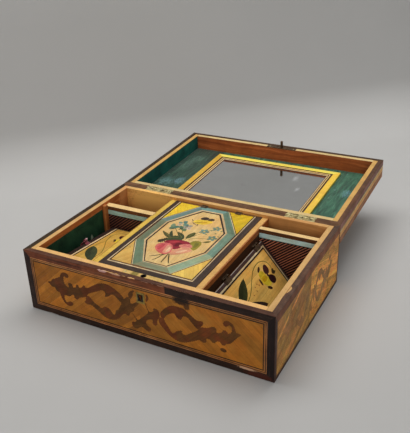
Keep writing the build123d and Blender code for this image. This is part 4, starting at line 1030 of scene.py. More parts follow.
# ------------------------------------------------------------------ big lid, outside
s = Sheet("lid_side_marquetry")
LID_STEPS = [(7.6, (112, 74, 64)), (1.2, (236, 192, 128)), (7.4, (204, 142, 86)), (0.8, (60, 36, 24)), (8.0, (128, 84, 54))]
for face, u0, u1, holes in ((LID_FAR, -149.4, 149.4, ()), (LID_NEAR, -149.4, 149.4, MAIN_X), (LID_RIGHT, 0.15, 200.15, ()), (LID_LEFT, -200.15, -0.15, ())):
    v = -0.6
    for k, (width, tint) in enumerate(LID_STEPS):
        w1 = max(v - width, LID_OUT)
        cuts = [u0 + (u1 - u0) * m / 3 + (RND.uniform(-9, 9) if 0 < m < 3 else 0) for m in range(4)]
        for x in holes:
            cuts += [x - MAIN_L, x + MAIN_L]
        cuts.sort()
        for a0, a1 in zip(cuts, cuts[1:]):
            over = any(abs((a0 + a1) / 2 - x) < MAIN_L for x in holes)
            top = min(v, -2.2) if over else v
            if top - w1 > 0.1:
                s.plate(face, rect(a0 + 0.01, a1 - 0.01, w1, top), -0.6, -0.02, S(shift(tint, 1 + RND.uniform(-0.08, 0.08), RND.uniform(-0.02, 0.02))), 0.0, slot=1 if k == 2 else 0)
        v = w1
s.make([M_BORDER, M_FIELD], "main_lid", ["lid_side_straw"])

s = Sheet("lid_top_marquetry")
inner = bands(s, LID_TOP, rect(-149.4, 149.4, -99.4, 99.4), [(11.0, (84, 50, 38)), (1.0, (200, 160, 96)), (0.9, (62, 34, 22)), (2.0, (176, 130, 70)), (1.2, (44, 24, 16))], -0.5, -0.02, seed=71)
field = inset(inner, -0.25)
for sx in (-1, 1):
    for sy in (-1, 1):
        part = clip(clip(field, sx, 0, 0), 0, sy, 0)
        strips(s, LID_TOP, part, 42 * sx * sy, 4.4, -0.45, -0.08, (186, 134, 66), seed=73 + sx + 3 * sy, jitter=0.05, slot=1)
for sy in (-1, 1):
    scrolls(s, LID_TOP, 0.86, 0.86 * sy, 0.0, 42.0 * sy, -0.078, -0.055, (110, 70, 38), 75 + sy, ears=False, slot=2)
s.make([M_BORDER, M_FIELD, M_SCROLL], "main_lid", ["lid_top_straw"])

# ------------------------------------------------------------------ cross dividers
for name, node, u0, u1, y, seed in (("left_cross_marquetry", "left_cross_straw", -138.0, -69.0, 37.6, 81), ("right_cross_marquetry", "right_cross_straw", 65.5, 138.0, 59.1, 83)):
    face = Face((0, y, 0), (1, 0, 0), (0, 0, 1))
    s = Sheet(name)
    rnd = random.Random(seed)
    v0 = 62.3
    # The left divider's turquoise is the right one's tint made darker: painted shade of the left compartment.
    s.plate(face, rect(u0, u1, v0, 68.0), -0.4, 0.0, (168, 203, 193) if u0 < 0 else (210, 243, 242), 0.0, slot=1)
    s.plate(face, rect(u0, u1, v0 - 0.8, v0), -0.4, -0.01, (30, 16, 14), 0.0)
    area = rect(u0, u1, 6.0, v0 - 0.8)
    k = 0
    a = math.radians(38)
    nx, ny = -math.sin(a), math.cos(a)
    lo = min(nx * u + ny * v for u, v in area)
    hi = max(nx * u + ny * v for u, v in area)
    q = lo
    while q < hi:
        w = (2.0 if k % 2 else 0.95) * (1 + rnd.uniform(-0.08, 0.08))
        piece = clip(clip(area, -nx, -ny, -q), nx, ny, q + w)
        # The left divider's light stripes are the right one's tint made darker: painted shade of the left compartment.
        tint = (24, 9, 10) if k % 2 else (196, 122, 96) if u0 > 0 else (128, 78, 62)
        s.plate(face, piece, -0.4, -0.03 if k % 2 else -0.01, shift(tint, 1 + rnd.uniform(-0.12, 0.12)), 38.0)
        q += w
        k += 1
    s.make([M_DIAG, M_DYED], "base", [node])

# ------------------------------------------------------------------ middle lid
s = Sheet("centre_lid_marquetry")
U0, U1, V0, V1 = -61.2, 57.2, -87.6, 87.6
NOTCH = [(x - 4.6, x + 4.6, 85.0, 90.0) for x in (-20.0, 27.0)]


def cut_notches(poly):
    parts = [poly]
    for hole in NOTCH:
        parts = [q for p in parts for q in without(p, hole)]
    return parts


rnd = random.Random(91)
outer = rect(U0, U1, V0, V1)
edges = edge_paths(outer, rnd, 0.0)
poly = outer
WORN = ((104, 64, 40), (150, 106, 66), (70, 40, 26))
for n_, (widths, tint, slot) in enumerate((([12.5, 7.4, 1.6, 5.9], (61, 44, 34), 0), ([1.8, 1.4, 0.7, 1.4], (224, 198, 156), 1), ([1.0, 1.1, 0.7, 1.3], (40, 26, 20), 1))):
    nxt = inset(poly, widths)
    nxt_edges = edge_paths(nxt, rnd, 0.08, out=-1.0)
    for i in range(4):
        a, b = edges[i], nxt_edges[i]
        (ax, ay), (bx, by) = poly[i], poly[(i + 1) % 4]
        deg = math.degrees(math.atan2(by - ay, bx - ax))
        t = WORN[n_] if i == 2 else tint
        for p in cut_notches(a + list(reversed(b))):
            s.plate(CENTRE, p, -0.4, -0.02, shift(t, 1 + rnd.uniform(-0.06, 0.06)), deg, slot=slot)
    poly, edges = nxt, nxt_edges
O0 = [(-25.2, -70.7), (21.0, -70.7), (46.5, -23.2), (46.5, 33.6), (14.1, 84.2), (-24.0, 84.0), (-51.5, 34.25), (-51.5, -22.0)]
O1 = [(-18.4, -61.4), (12.25, -61.4), (36.6, -18.2), (36.6, 33.0), (9.75, 76.75), (-18.4, 76.0), (-42.75, 31.1), (-42.75, -19.5)]
O3 = [(-17.1, -58.9), (9.75, -58.9), (32.9, -17.0), (32.9, 31.1), (7.25, 71.75), (-14.6, 71.75), (-39.0, 29.9), (-39.0, -18.25)]
O2 = [(p[0] * 0.46 + q[0] * 0.54, p[1] * 0.46 + q[1] * 0.54) for p, q in zip(O1, O3)]
# corner fields, each laid with its own strips
for tri, tint, deg in (
        ([(-52.1, -71.2), (-25.0, -71.2), (-52.1, -22.0)], (217, 174, 91), 62),
        ([(47.0, -71.2), (47.0, -22.8), (20.4, -71.2)], (242, 202, 95), -62),
        ([(47.0, 85.0), (13.4, 85.0), (47.0, 33.4)], (214, 178, 30), 58),
        ([(-52.1, 85.0), (-52.1, 34.0), (-24.0, 85.0)], (236, 198, 41), -58)):
    strips(s, CENTRE, tri, deg, 4.6, -0.4, -0.10, tint, seed=int(abs(tri[0][0] * 3 + tri[0][1])), jitter=0.03, warm=0.01, slot=2)
A0, A1 = inset(O0, -1.7), inset(O0, -0.9)


def corner_lines(outer_, inner_, h1, tint):
    for i in (1, 3, 5, 7):
        j = (i + 1) % 8
        (ax, ay), (bx, by) = outer_[i], outer_[j]
        q = [outer_[i], outer_[j], inner_[j], inner_[i]]
        q = clip(clip(clip(clip(q, 0, 1, 84.8), 1, 0, 47.0), -1, 0, 52.0), 0, -1, 71.4)
        s.plate(CENTRE, q, -0.3, h1, tint, math.degrees(math.atan2(by - ay, bx - ax)), slot=1)


corner_lines(A0, A1, -0.06, (50, 32, 22))
corner_lines(A1, O0, -0.055, (226, 202, 156))
# Each segment of the turquoise ring has its own tint. Part of it is the dyed straw's tone and part is painted sheen:
# the brightness each straw direction shows.
TURQ_TONES_AND_SHEEN = [(135, 141, 111), (152, 176, 147), (112, 144, 127), (99, 128, 108), (110, 146, 138), (112, 138, 132), (112, 124, 98), (106, 130, 103)]
between(s, CENTRE, O0, O1, -0.4, -0.03, TURQ_TONES_AND_SHEEN, 95, slot=3, jitter=0.02)
between(s, CENTRE, O1, O2, -0.4, -0.028, (222, 192, 144), 96, slot=1)
between(s, CENTRE, O2, O3, -0.4, -0.03, (44, 28, 20), 97, slot=1)
strips(s, CENTRE, inset(O3, -0.2), 96, 4.6, -0.4, -0.17, (225, 190, 126), seed=97, jitter=0.02, warm=0.01, slot=2)


def motif(sheet, face, poly_, tint, level, deg=0.0, slot=4, rise=0.018, base=-0.168):
    """One inlaid piece of a drawing; every piece has a height of its own."""
    sheet.count += 1
    sheet.plate(face, poly_, base, base + 0.01 + rise * level + 0.0018 * (sheet.count % 9), tint, deg, slot=slot)


def put_leaf(sheet, face, base, tip, width, tint, level, bend=0.0, belly=0.42, at=None):
    deg = math.degrees(math.atan2(tip[1] - base[1], tip[0] - base[0]))
    for half, f, d in zip(leaf(base, tip, width, bend, belly), (1.0, 0.84), (24, -24)):
        motif(sheet, face, [at(*p) for p in half] if at else half, shift(tint, f), level, deg + d)


def floret(sheet, face, cx, cy, r, tint, level, phase=0.0, heart=(206, 172, 84)):
    for k in range(5):
        a = math.radians(phase + 72 * k)
        x, y = cx + 0.62 * r * math.cos(a), cy + 0.62 * r * math.sin(a)
        motif(sheet, face, oval(x, y, 0.50 * r, 0.36 * r, math.degrees(a), 10), shift(tint, 0.9 + 0.06 * (k % 3)), level, math.degrees(a))
    motif(sheet, face, oval(cx, cy, 0.24 * r, 0.24 * r, 0, 8), heart, level + 1)


# a bouquet tied low, under a butterfly
LEAF, MOSS, OLIVE, STALK = (66, 76, 42), (82, 84, 40), (150, 138, 46), (112, 106, 60)


def drawn(pts, tint, level, deg=0.0, teeth=0.0, step=2.4):
    pts = smooth(pts, 2)
    motif(s, CENTRE, ruffle(pts, teeth, step, level) if teeth else pts, tint, level, deg)


for pts in ([(-2.8, -35), (-6.4, -41), (-7.8, -47.5), (-10.8, -54.5)], [(-1.6, -35), (-0.6, -44), (-0.2, -49), (0.5, -55.0)], [(-0.7, -35), (4.2, -45.0), (9.0, -53.6)], [(-4.5, -36), (-11, -43), (-18, -48.5)]):
    motif(s, CENTRE, stroke(pts, 1.5, 0.5), (84, 74, 42), 0, 80)
for pts in ([(-0.5, 0), (0.9, 11.3), (4.8, 20.3), (10.4, 26)], [(2.0, 2.0), (11.0, 8.7), (20.9, 11.5), (26, 15)], [(0.5, 4), (8, 18), (14, 29), (21, 38)], [(16.0, 1.0), (23.8, 4.1), (28.5, 8.4)], [(-8, 4), (-12, 14), (-19, 30)], [(-10, 3), (-19, 14), (-28, 24)]):
    motif(s, CENTRE, stroke(pts, 0.8, 0.5), STALK, 0, 60)
drawn([(-27.0, -17.4), (-28.9, -12.1), (-24.1, -7.3), (-21.5, -2.5), (-18.8, -10.2), (-22.7, -17.1)], (60, 54, 32), 2, 40, 1.6, 2.6)
drawn([(-22.0, -8.0), (-20.4, 0.2), (-16.0, 4.6), (-11.0, 5.0), (-5.0, 0.5), (-1.0, -4.0), (-9.0, -7.0), (-16.0, -12.0)], LEAF, 1, 20, 1.2, 3.0)
drawn([(-35.9, 9.2), (-30.5, 7.4), (-21.1, 3.0), (-15.5, -3.5), (-23.0, -3.6), (-30.4, 2.5)], MOSS, 2, 150, 0.5, 2.2)
drawn([(-25.7, 14.8), (-22.0, 9.5), (-18.0, 3.0), (-16.1, -4.1), (-21.5, 1.0), (-25.0, 7.0)], (60, 70, 40), 3, 115)
drawn([(-17.8, 13.8), (-12.3, 12.5), (-6.1, 9.0), (-2.2, 0.9), (-5.0, -2.5), (-9.8, 2.2), (-14.5, 8.0)], LEAF, 2, 120, 0.5, 2.2)
drawn([(-1.6, 2.0), (-3.1, 9.5), (-2.0, 15.5), (1.5, 21.2), (4.9, 15.8), (4.0, 9.4), (1.5, 4.0)], MOSS, 3, 80, 0.5, 2.2)
drawn([(7.6, -4.4), (10.2, 2.0), (17.4, 4.1), (21.8, -1.0), (22.3, -9.3), (21.2, -18.2), (17.0, -17.3), (11.0, -11.0)], OLIVE, 1, 100, 0.5, 3.2)
drawn([(13.5, -3.0), (18.5, 0.0), (19.8, -9.0), (17.0, -14.0)], (118, 114, 42), 2, 60)
drawn([(20.0, 2.5), (24.0, 7.4), (29.8, 8.8), (26.0, 3.0)], (96, 96, 44), 2, 30)
for x, y, rx, ry, d, tint in ((-29.1, 19.8, 3.2, 2.0, 50, (92, 126, 104)), (-30.6, 25.8, 2.4, 3.4, 10, (122, 146, 118)), (-24.7, 23.6, 3.4, 2.4, 30, (88, 128, 112)), (-24.2, 30.4, 3.0, 2.2, 70, (196, 180, 156)),
                              (-20.7, 37.9, 2.2, 3.4, 20, (92, 132, 122)), (-16.9, 32.2, 3.2, 2.4, 0, (104, 142, 128)), (-14.4, 26.4, 2.6, 3.6, 40, (150, 150, 132)), (-19.4, 25.2, 2.8, 2.0, 120, (86, 116, 92)),
                              (-13.4, 20.4, 3.2, 2.2, 160, (98, 120, 84)), (-9.4, 25.3, 2.4, 2.2, 0, (206, 186, 168)), (-11.0, 31.6, 2.6, 2.0, 60, (166, 160, 148)), (-25.8, 35.2, 2.2, 1.8, 0, (120, 146, 128))):
    motif(s, CENTRE, oval(x, y, rx * 1.18, ry * 1.25, d, 12, 3, 0.12, x), tint, 3 + int(abs(x)) % 2, d)
for x, y in ((-24.2, 30.4), (-9.4, 25.3), (-14.4, 26.4)):
    motif(s, CENTRE, oval(x, y, 0.8, 0.8, 0, 8), (150, 110, 60), 5)
drawn([(-20.0, 17.0), (-16.0, 21.5), (-15.0, 28.0), (-19.0, 23.0)], (62, 60, 40), 2, 60)
drawn([(-17.0, 29.0), (-13.0, 33.5), (-8.5, 35.0), (-11.5, 30.0)], (58, 56, 36), 4, 40)
drawn([(-30.0, 15.0), (-26.0, 17.0), (-22.5, 21.5), (-27.5, 20.5)], (86, 88, 52), 2, 40)
for pts, tint in (([(-21.0, -5.5), (-16.0, -1.0), (-9.5, 1.5)], (120, 116, 62)), ([(-15.5, 10.5), (-10.5, 7.0), (-6.0, 2.5)], (118, 116, 64)), ([(0.2, 4.0), (0.4, 11.0), (1.4, 17.5)], (124, 120, 64)), ([(-31, 6.4), (-25, 2.6), (-19, -0.8)], (126, 120, 62))):
    motif(s, CENTRE, stroke(pts, 0.8, 0.3), tint, 5, 50)
for x, y in ((17.0, 32.0), (28.5, 35.0), (15.5, 21.5), (31.0, 21.5), (24.5, 27.0)):
    motif(s, CENTRE, oval(x, y, 1.5, 1.1, 40 * x, 8), (132, 140, 100), 2, 30)
floret(s, CENTRE, 10.4, 26.5, 5.6, (112, 146, 132), 2, 5)
floret(s, CENTRE, 20.8, 38.4, 5.2, (124, 150, 132), 2, 30)
floret(s, CENTRE, 26.2, 15.4, 5.6, (112, 146, 130), 3, 12)
BALL = [(-23.6, -27.8), (-24.2, -20.9), (-19.4, -15.2), (-11.6, -14.4), (-5.8, -17.6), (-2.2, -24.3), (-1.2, -31.5), (-3.2, -38.0), (-10.9, -38.6), (-18.4, -34.4)]
drawn([(-20.6, -14.5), (-18.8, -9.5), (-9.7, -4.2), (-0.5, -2.0), (7.4, -3.3), (11.0, -7.0), (9.6, -13.0), (4.4, -17.6), (1.7, -23.4), (-3.6, -25.4), (-9.5, -18.0), (-15.4, -15.6)], (146, 34, 50), 3, 10, 0.8, 3.4)
drawn([(-16.0, -12.5), (-9.0, -6.5), (-2.5, -5.5), (-6.5, -10.5), (-9.5, -14.5)], (176, 56, 66), 4, 30)
drawn([(-5.0, -9.5), (0.5, -8.0), (1.8, -13.5), (-2.2, -19.5), (-5.6, -15.0)], (112, 24, 38), 5, 70)
drawn([(-1.0, -14.0), (3.0, -10.2), (8.6, -7.2), (14.0, -8.6), (16.3, -14.3), (9.5, -18.2), (2.9, -18.0)], (222, 142, 122), 5, -10, 0.6, 3.0)
for pts in ([(2.0, -15.8), (7.5, -12.8), (14.0, -12.2)], [(3.6, -12.6), (8.0, -9.6), (12.2, -9.6)]):
    motif(s, CENTRE, stroke(pts, 1.2, 0.7), (188, 74, 84), 6, 20)
drawn([(-1.6, -32.8), (-0.9, -25.9), (4.0, -19.4), (12.2, -16.0), (18.0, -17.2), (18.9, -21.6), (12.8, -28.6), (6.0, -35.0), (0.6, -37.1)], (226, 156, 122), 5, 20, 0.5, 3.4)
drawn([(3.0, -30.0), (8.0, -23.0), (14.5, -19.0), (12.0, -25.0), (7.0, -31.0)], (238, 192, 152), 6, 40)
drawn(BALL, (212, 108, 106), 6, 60)
drawn([(-19.4, -30.8), (-20.8, -25.6), (-18.6, -19.8), (-15.4, -17.0), (-14.6, -24.0), (-15.4, -32.6)], (196, 78, 88), 7, 80)
drawn([(-12.4, -17.4), (-7.2, -19.2), (-3.7, -24.4), (-2.6, -31.4), (-4.8, -36.2), (-9.4, -36.2), (-11.0, -28.0)], (234, 166, 138), 7, 80)
drawn([(-8.2, -20.6), (-4.8, -25.2), (-3.6, -31.6), (-6.2, -35.4), (-8.0, -29.0)], (242, 202, 164), 8, 80)
for pts, tint, level in (([(-13.8, 43.0), (-13.4, 47.8), (-9.2, 51.4), (-2.4, 52.8), (5.3, 54.2), (10.0, 51.0), (6.6, 45.6), (0.6, 40.8), (-7.0, 39.8)], (238, 206, 70), 3), ([(-4.5, 43.0), (2.5, 45.0), (4.0, 49.5), (-2.0, 48.6)], (214, 172, 46), 4)):
    drawn(pts, tint, level, 20, 0.4, 3.0)
drawn([(-9.6, 53.4), (-7.4, 59.4), (-3.0, 61.0), (1.4, 58.8), (-0.2, 53.2), (-5.4, 52.0)], (58, 44, 34), 3, 100, 0.6, 2.4)
drawn([(-0.6, 53.6), (2.2, 59.6), (7.0, 60.0), (9.2, 56.2), (5.0, 53.0)], (64, 48, 36), 4, 60, 0.6, 2.4)
motif(s, CENTRE, stroke([(-11.0, 41.6), (-6.4, 44.4), (-3.0, 47.6)], 1.2, 0.4), (110, 76, 34), 5, 60)
motif(s, CENTRE, oval(-9.7, 45.8, 1.4, 1.1, 30), (52, 36, 26), 3)
for pts in ([(-13.7, 43.1), (-11.0, 40.0), (-6.3, 37.7)], [(-12.6, 45.5), (-15.6, 46.4), (-17.6, 49.0)], [(-6.5, 41.0), (-4.4, 38.0), (-5.0, 35.2)]):
    motif(s, CENTRE, stroke(pts, 0.9, 0.4), (78, 56, 40), 1)
s.make([M_INBORDER, M_LINE, M_INNER, M_DYED, M_MOTIF], "centre_lid", ["centre_lid_straw"])

# ------------------------------------------------------------------ side lids


def pansy(sheet, face, at, stems, leaves, k, left_mark):
    """A pansy: at maps the drawing of the flower to the lid, k scales its lines."""
    for pts, w, taper in stems:
        motif(sheet, face, stroke(pts, w, taper), (132, 118, 48), 0, 70)
    for base, tip, w, tint, bend, belly in leaves:
        put_leaf(sheet, face, base, tip, w, tint, 1, bend, belly)

    def piece(pts, tint, level, deg=0.0):
        motif(sheet, face, [at(*p) for p in pts], tint, level, deg)

    piece([(36, 37.0), (33.2, 40.5), (34.4, 44.0), (36.2, 42.4), (38.6, 45.0), (40.2, 40.6), (38.4, 36.5)], (70, 52, 24), 1, 30)
    piece(smooth([(24.4, 17.1), (25.0, 21.5), (28, 24.4), (33, 25.0), (37.9, 26.4), (42.5, 26.5), (45.5, 23.4), (44.0, 17.6), (39.5, 12.8), (35, 11.2), (30.4, 12.9), (26.5, 13.4)], 2), (232, 200, 52), 1, 90)
    piece(oval(34.6, 19.0, 3.2, 5.4, 0, 14), (214, 168, 30), 2, 90)
    piece(oval(28.6, 31.0, 5.0, 6.0, 38, 18, 3, 0.05), (72, 30, 28), 3, 40)
    piece(oval(41.6, 31.2, 5.4, 6.4, -34, 18, 3, 0.05), (52, 24, 28), 3, -40)
    marks = (oval(*left_mark, 1.7, 4.4, 24, 12), oval(46.1, 17.5, 1.9, 4.3, -38, 12), oval(34.0, 9.8, 4.2, 1.7, -4, 12), oval(34.8, 28.0, 2.0, 1.8, 0, 10))
    for pts in marks:
        piece(pts, (66, 38, 26), 3, 60)
    for x, y in ((32.4, -4.4), (36.6, -5.7), (37.1, -14.5), (31.6, 1.4), (34.2, 3.6)):
        piece(oval(x, y, 0.85 * k, 0.85 * k, 0, 8), (170, 76, 40), 1)


LEFT_STEMS = [([(-24.3, 22.3), (-31, 25.4), (-38, 22), (-42, 14), (-41.4, 8), (-38, -5), (-31.4, -17), (-24.8, -32), (-23.7, -43), (-24, -58), (-26, -72)], 1.0, 0.2),
              ([(-38, -5), (-42, -13), (-42.5, -23)], 0.9, 0.3)]
LEFT_LEAVES = [((-43.2, -22.8), (-20.6, -59.8), 14.2, (62, 70, 38), -0.03, 0.42), ((-15, -12), (-22.5, -34), 8.5, (66, 42, 26), 0.1, 0.45)]
RIGHT_STEMS = [([(36.5, 39), (30, 42), (22, 39), (17.2, 30), (16.4, 20), (18.6, 9), (25.5, -4), (32, -15), (36, -27), (38, -42), (37, -60)], 1.05, 0.2)]
RIGHT_LEAVES = [((15.8, -11.8), (35.0, -45.0), 13.6, (66, 68, 36), 0.03, 0.5), ((55.5, -3), (39, -27), 9.5, (66, 42, 26), 0.1, 0.45),
                ((33, -52), (19, -76), 13.5, (62, 50, 30), -0.08, 0.45), ((42, -56), (54, -78), 12.0, (74, 84, 46), 0.06, 0.45)]
for name, face, box, node, body, seed, steps, rear, near, tint, at, stems, leaves, k, left_mark in (
        ("left_lid_marquetry", LEFT_LID, (-56.5, -2.0, -86.8, 35.2), "left_lid_straw", "left_lid", 101, [(6.1, (56, 38, 34)), (2.0, (232, 204, 160)), (1.6, (46, 26, 20))], [1.2, 0.35, 0.35], [6.1, 2.0, 1.6],
         (215, 169, 78), lambda x, y: (-26.5 + (x - 28.9) * 0.9, 14.4 + (y - 31.2) * 0.9), LEFT_STEMS, LEFT_LEAVES, 0.9, (24.6, 18.0)),
        ("right_lid_marquetry", RIGHT_LID, (2.3, 68.5, -87.0, 58.5), "right_lid_straw", "right_lid", 103, [(5.0, (78, 54, 50)), (1.9, (236, 212, 166)), (1.8, (40, 24, 20))], [3.8, 1.9, 1.8], [4.5, 1.9, 1.8],
         (250, 197, 103), lambda x, y: (x, y), RIGHT_STEMS, RIGHT_LEAVES, 1.0, (22.4, 19.6))):
    s = Sheet(name)
    u0, u1, v0, v1 = box
    rnd = random.Random(seed)
    poly = rect(u0, u1, v0, v1)
    edges = edge_paths(poly, rnd, 0.0)
    for n_, (w, colour) in enumerate(steps):
        nxt = inset(poly, [w, w, rear[n_], near[n_]])
        nxt_edges = edge_paths(nxt, rnd, 0.08, out=-1.0)
        for i in range(4):
            (ax, ay), (bx, by) = poly[i], poly[(i + 1) % 4]
            deg = math.degrees(math.atan2(by - ay, bx - ax))
            s.plate(face, edges[i] + list(reversed(nxt_edges[i])), -0.4, -0.02, shift(colour, 1 + rnd.uniform(-0.06, 0.06)), deg, slot=0 if n_ == 0 else 1)
        poly, edges = nxt, nxt_edges
    strips(s, face, inset(poly, -0.2), 90, 4.6, -0.4, -0.17, tint, seed=seed + 1, jitter=0.025, warm=0.015, slot=2)
    pansy(s, face, at, stems, leaves, k, left_mark)
    # A thin whitish strip along the right lid's hinge edge: a painted highlight standing for a glint there.
    if body == "right_lid":
        for v0_, v1_ in ((-84.0, -43.0), (-27.0, 34.0), (50.0, 56.5)):
            s.plate(face, rect(2.4, 3.1, v0_, v1_), -0.3, 0.015, (214, 206, 196), 90, slot=1)
    s.make([M_INBORDER, M_LINE, M_INNER, M_DYED, M_MOTIF], body, [node])

# silk ribbon on the left lid's free edge, standing up in a soft loop
t = Tree("silk_red")
where = t.place()
x, y, z = t.split(where)
rib = t.noise(t.vec(t.math("MULTIPLY", x, 0.5), t.math("MULTIPLY", y, 6.0), t.math("MULTIPLY", z, 0.5)), 1.0, 2.0)
fade = t.remap(t.noise(where, 0.25, 3.0), 0.4, 0.65, 0.0, 1.0)
col = t.mix(fade, lin((112, 16, 34)), lin((138, 28, 48)))
col = t.mix(t.blot(where, (-129.6, -16.0, 53.4), (3.0, 3.4, 2.4), scale=0.6), col, lin((226, 176, 180)))
col = t.gain(col, t.remap(rib, 0.3, 0.7, 0.82, 1.12))
t.bump(rib, 0.0002, 0.6)
M_RED = t.done(col, 0.5, 0.0, 0.3)
t.bsdf.inputs["Sheen Weight"].default_value = 0.4
path = spline([(-50.8, 0.15), (-54.0, 0.2), (-57.0, 0.7), (-59.0, 1.9), (-59.2, 3.4), (-57.8, 4.2), (-56.3, 3.6), (-56.6, 2.2), (-58.6, 0.8), (-58.4, -1.4), (-57.0, -2.6), (-56.75, -2.85)], 5)
verts, faces = [], []
for i, (pu, ph) in enumerate(path):
    p0, p1 = path[max(0, i - 1)], path[min(len(path) - 1, i + 1)]
    dx, dh = p1[0] - p0[0], p1[1] - p0[1]
    length = math.hypot(dx, dh)
    nx, nh = -dh / length * 0.14, dx / length * 0.14
    soft = min(1.0, max(0.0, (i - 8) / 12.0))
    run_ = i / (len(path) - 1)
    drift_ = 3.6 * math.sin(math.pi * min(1.0, run_ / 0.75)) - 5.5 * max(0.0, (run_ - 0.5) / 0.5)
    for side in (1, -1):
        for j in range(5):
            f = j / 4
            wave = 0.30 * soft * math.sin(f * 7.0 + i * 0.35)
            verts.append(tuple(LEFT_LID.at(pu + side * nx + wave, -25.4 + drift_ + 6.8 * f + 0.9 * soft * (0.5 - f), ph + side * nh + 0.5 * wave * (ph > 0.5))))
ROW = 10
for i in range(len(path) - 1):
    a, b = i * ROW, (i + 1) * ROW
    for j in range(4):
        faces.append((a + j, a + j + 1, b + j + 1, b + j))
        faces.append((a + 5 + j + 1, a + 5 + j, b + 5 + j, b + 5 + j + 1))
    faces.append((a + 4, a + 9, b + 9, b + 4))
    faces.append((a + 5, a, b, b + 5))
for e in (0, (len(path) - 1) * ROW):
    for j in range(4):
        q = (e + j + 1, e + j, e + 5 + j, e + 5 + j + 1)
        faces.append(q if e == 0 else tuple(reversed(q)))
me = bpy.data.meshes.new("left_lid_ribbon")
me.from_pydata(verts, [], faces)
me.validate()
for p in me.polygons:
    p.use_smooth = True
me.materials.append(M_RED)
o = bpy.data.objects.new("left_lid_ribbon", me)
bpy.context.scene.collection.objects.link(o)
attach(o, "left_lid")
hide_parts("left_lid_pull")

# ------------------------------------------------------------------ silk round the mirror
FX0, FX1, FV0, FV1 = -91.9, 98.5, 27.5, 172.5


def smooth_noise(x, y, seed):
    """Smooth noise from a lattice of random heights, 0 to 1."""
    g = np.random.RandomState(seed).rand(128, 128)
    xi, yi = np.floor(x).astype(int), np.floor(y).astype(int)
    fx, fy = x - xi, y - yi
    fx, fy = fx * fx * (3 - 2 * fx), fy * fy * (3 - 2 * fy)
    a, b = g[xi % 128, yi % 128], g[(xi + 1) % 128, yi % 128]
    c, d = g[xi % 128, (yi + 1) % 128], g[(xi + 1) % 128, (yi + 1) % 128]
    return a * (1 - fx) * (1 - fy) + b * fx * (1 - fy) + c * (1 - fx) * fy + d * fx * fy


def rucks(x, v):
    """Height of the silk over the lid's floor: fine rucks along v, a few folds."""
    a = smooth_noise(x * 0.17 + 40 + 0.9 * smooth_noise(x * 0.03 + 3, v * 0.05 + 9, 5), v * 0.020 + 7, 1)
    b = smooth_noise(x * 0.46 + 11, v * 0.045 + 3, 2)
    c = smooth_noise(x * 0.07 + 5, v * 0.09 + 20, 3)
    ridge = (1 - np.abs(2 * a - 1)) ** 2
    pleat = (1 - np.abs(2 * smooth_noise(x * 0.24 + 60, v * 0.012 + 2, 4) - 1)) ** 3
    return 0.12 + 0.42 * ridge + 0.20 * b + 0.28 * c + 0.42 * pleat


xs = np.unique(np.round(np.concatenate([np.linspace(-138, FX0, 49), np.linspace(FX0, FX1, 96), np.linspace(FX1, 138, 40)]), 6))
vs = np.unique(np.round(np.concatenate([np.linspace(12.15, FV0, 9), np.linspace(FV0, FV1, 72), np.linspace(FV1, 188.15, 12)]), 6))
XX, VV = np.meshgrid(xs, vs, indexing="ij")
top = rucks(XX, VV)
edge = np.minimum(np.minimum(XX + 138, 138 - XX), np.minimum(VV - 12.15, 188.15 - VV))
top = 0.12 + (top - 0.12) * np.clip(edge / 2.0, 0.15, 1.0)
floor_ = LID.up(LID_FLOOR)
verts, faces, index = [], [], {}


def put(i, j, layer):
    key = (i, j, layer)
    if key not in index:
        index[key] = len(verts)
        verts.append(tuple(floor_.at(float(xs[i]), float(vs[j]), float(top[i, j]) if layer else float(top[i, j]) - 0.09)))
    return index[key]


cells = set()
for i in range(len(xs) - 1):
    for j in range(len(vs) - 1):
        cx, cv = (xs[i] + xs[i + 1]) / 2, (vs[j] + vs[j + 1]) / 2
        if not (FX0 < cx < FX1 and FV0 < cv < FV1):
            cells.add((i, j))
for i, j in sorted(cells):
    faces.append((put(i, j, 1), put(i + 1, j, 1), put(i + 1, j + 1, 1), put(i, j + 1, 1)))
    faces.append((put(i, j + 1, 0), put(i + 1, j + 1, 0), put(i + 1, j, 0), put(i, j, 0)))
    for (di, dj), (p, q) in {(-1, 0): ((0, 1), (0, 0)), (1, 0): ((1, 0), (1, 1)), (0, -1): ((0, 0), (1, 0)), (0, 1): ((1, 1), (0, 1))}.items():
        if (i + di, j + dj) not in cells:
            a, b = (i + p[0], j + p[1]), (i + q[0], j + q[1])
            faces.append((put(*a, 0), put(*b, 0), put(*b, 1), put(*a, 1)))
me = bpy.data.meshes.new("lid_silk")
me.from_pydata(verts, [], faces)
me.validate()
for p in me.polygons:
    p.use_smooth = True
t = Tree("silk_green")
where = t.place()
x, y, z = t.split(where)
moire = t.noise(t.vec(t.math("MULTIPLY", x, 0.20), t.math("MULTIPLY", y, 0.030), 0.0), 1.0, 5.0, 0.62, 0.9)
thread = t.noise(t.vec(t.math("MULTIPLY", x, 1.6), t.math("MULTIPLY", y, 0.12), 4.0), 1.0, 3.0, 0.7)
col = t.ramp(moire, [(0.30, (20, 56, 42)), (0.48, (40, 92, 68)), (0.62, (62, 116, 88)), (0.76, (112, 158, 136))])
col = t.gain(col, t.remap(thread, 0.3, 0.7, 0.80, 1.16))
# Painted shade: the silk between the left wall and the frame (x below -92) is darkened to half, and to about a third at
# the far end.
col = t.gain(col, t.mix(t.remap(x, -92.0, -84.0, 0.0, 1.0), t.remap(y, 120.0, 280.0, 0.50, 0.34), t.rgb((255, 255, 255))))
worn_ = t.noise(where, 0.13, 6.0, 0.75, 0.3)
spot = t.noise(where, 0.55, 4.0, 0.7)
hit = t.math("MULTIPLY", t.remap(worn_, 0.60, 0.68, 0.0, 1.0, True), t.remap(spot, 0.50, 0.62, 0.0, 1.0, True))
col = t.mix(t.math("MULTIPLY", hit, 0.75), col, lin((156, 186, 196)))
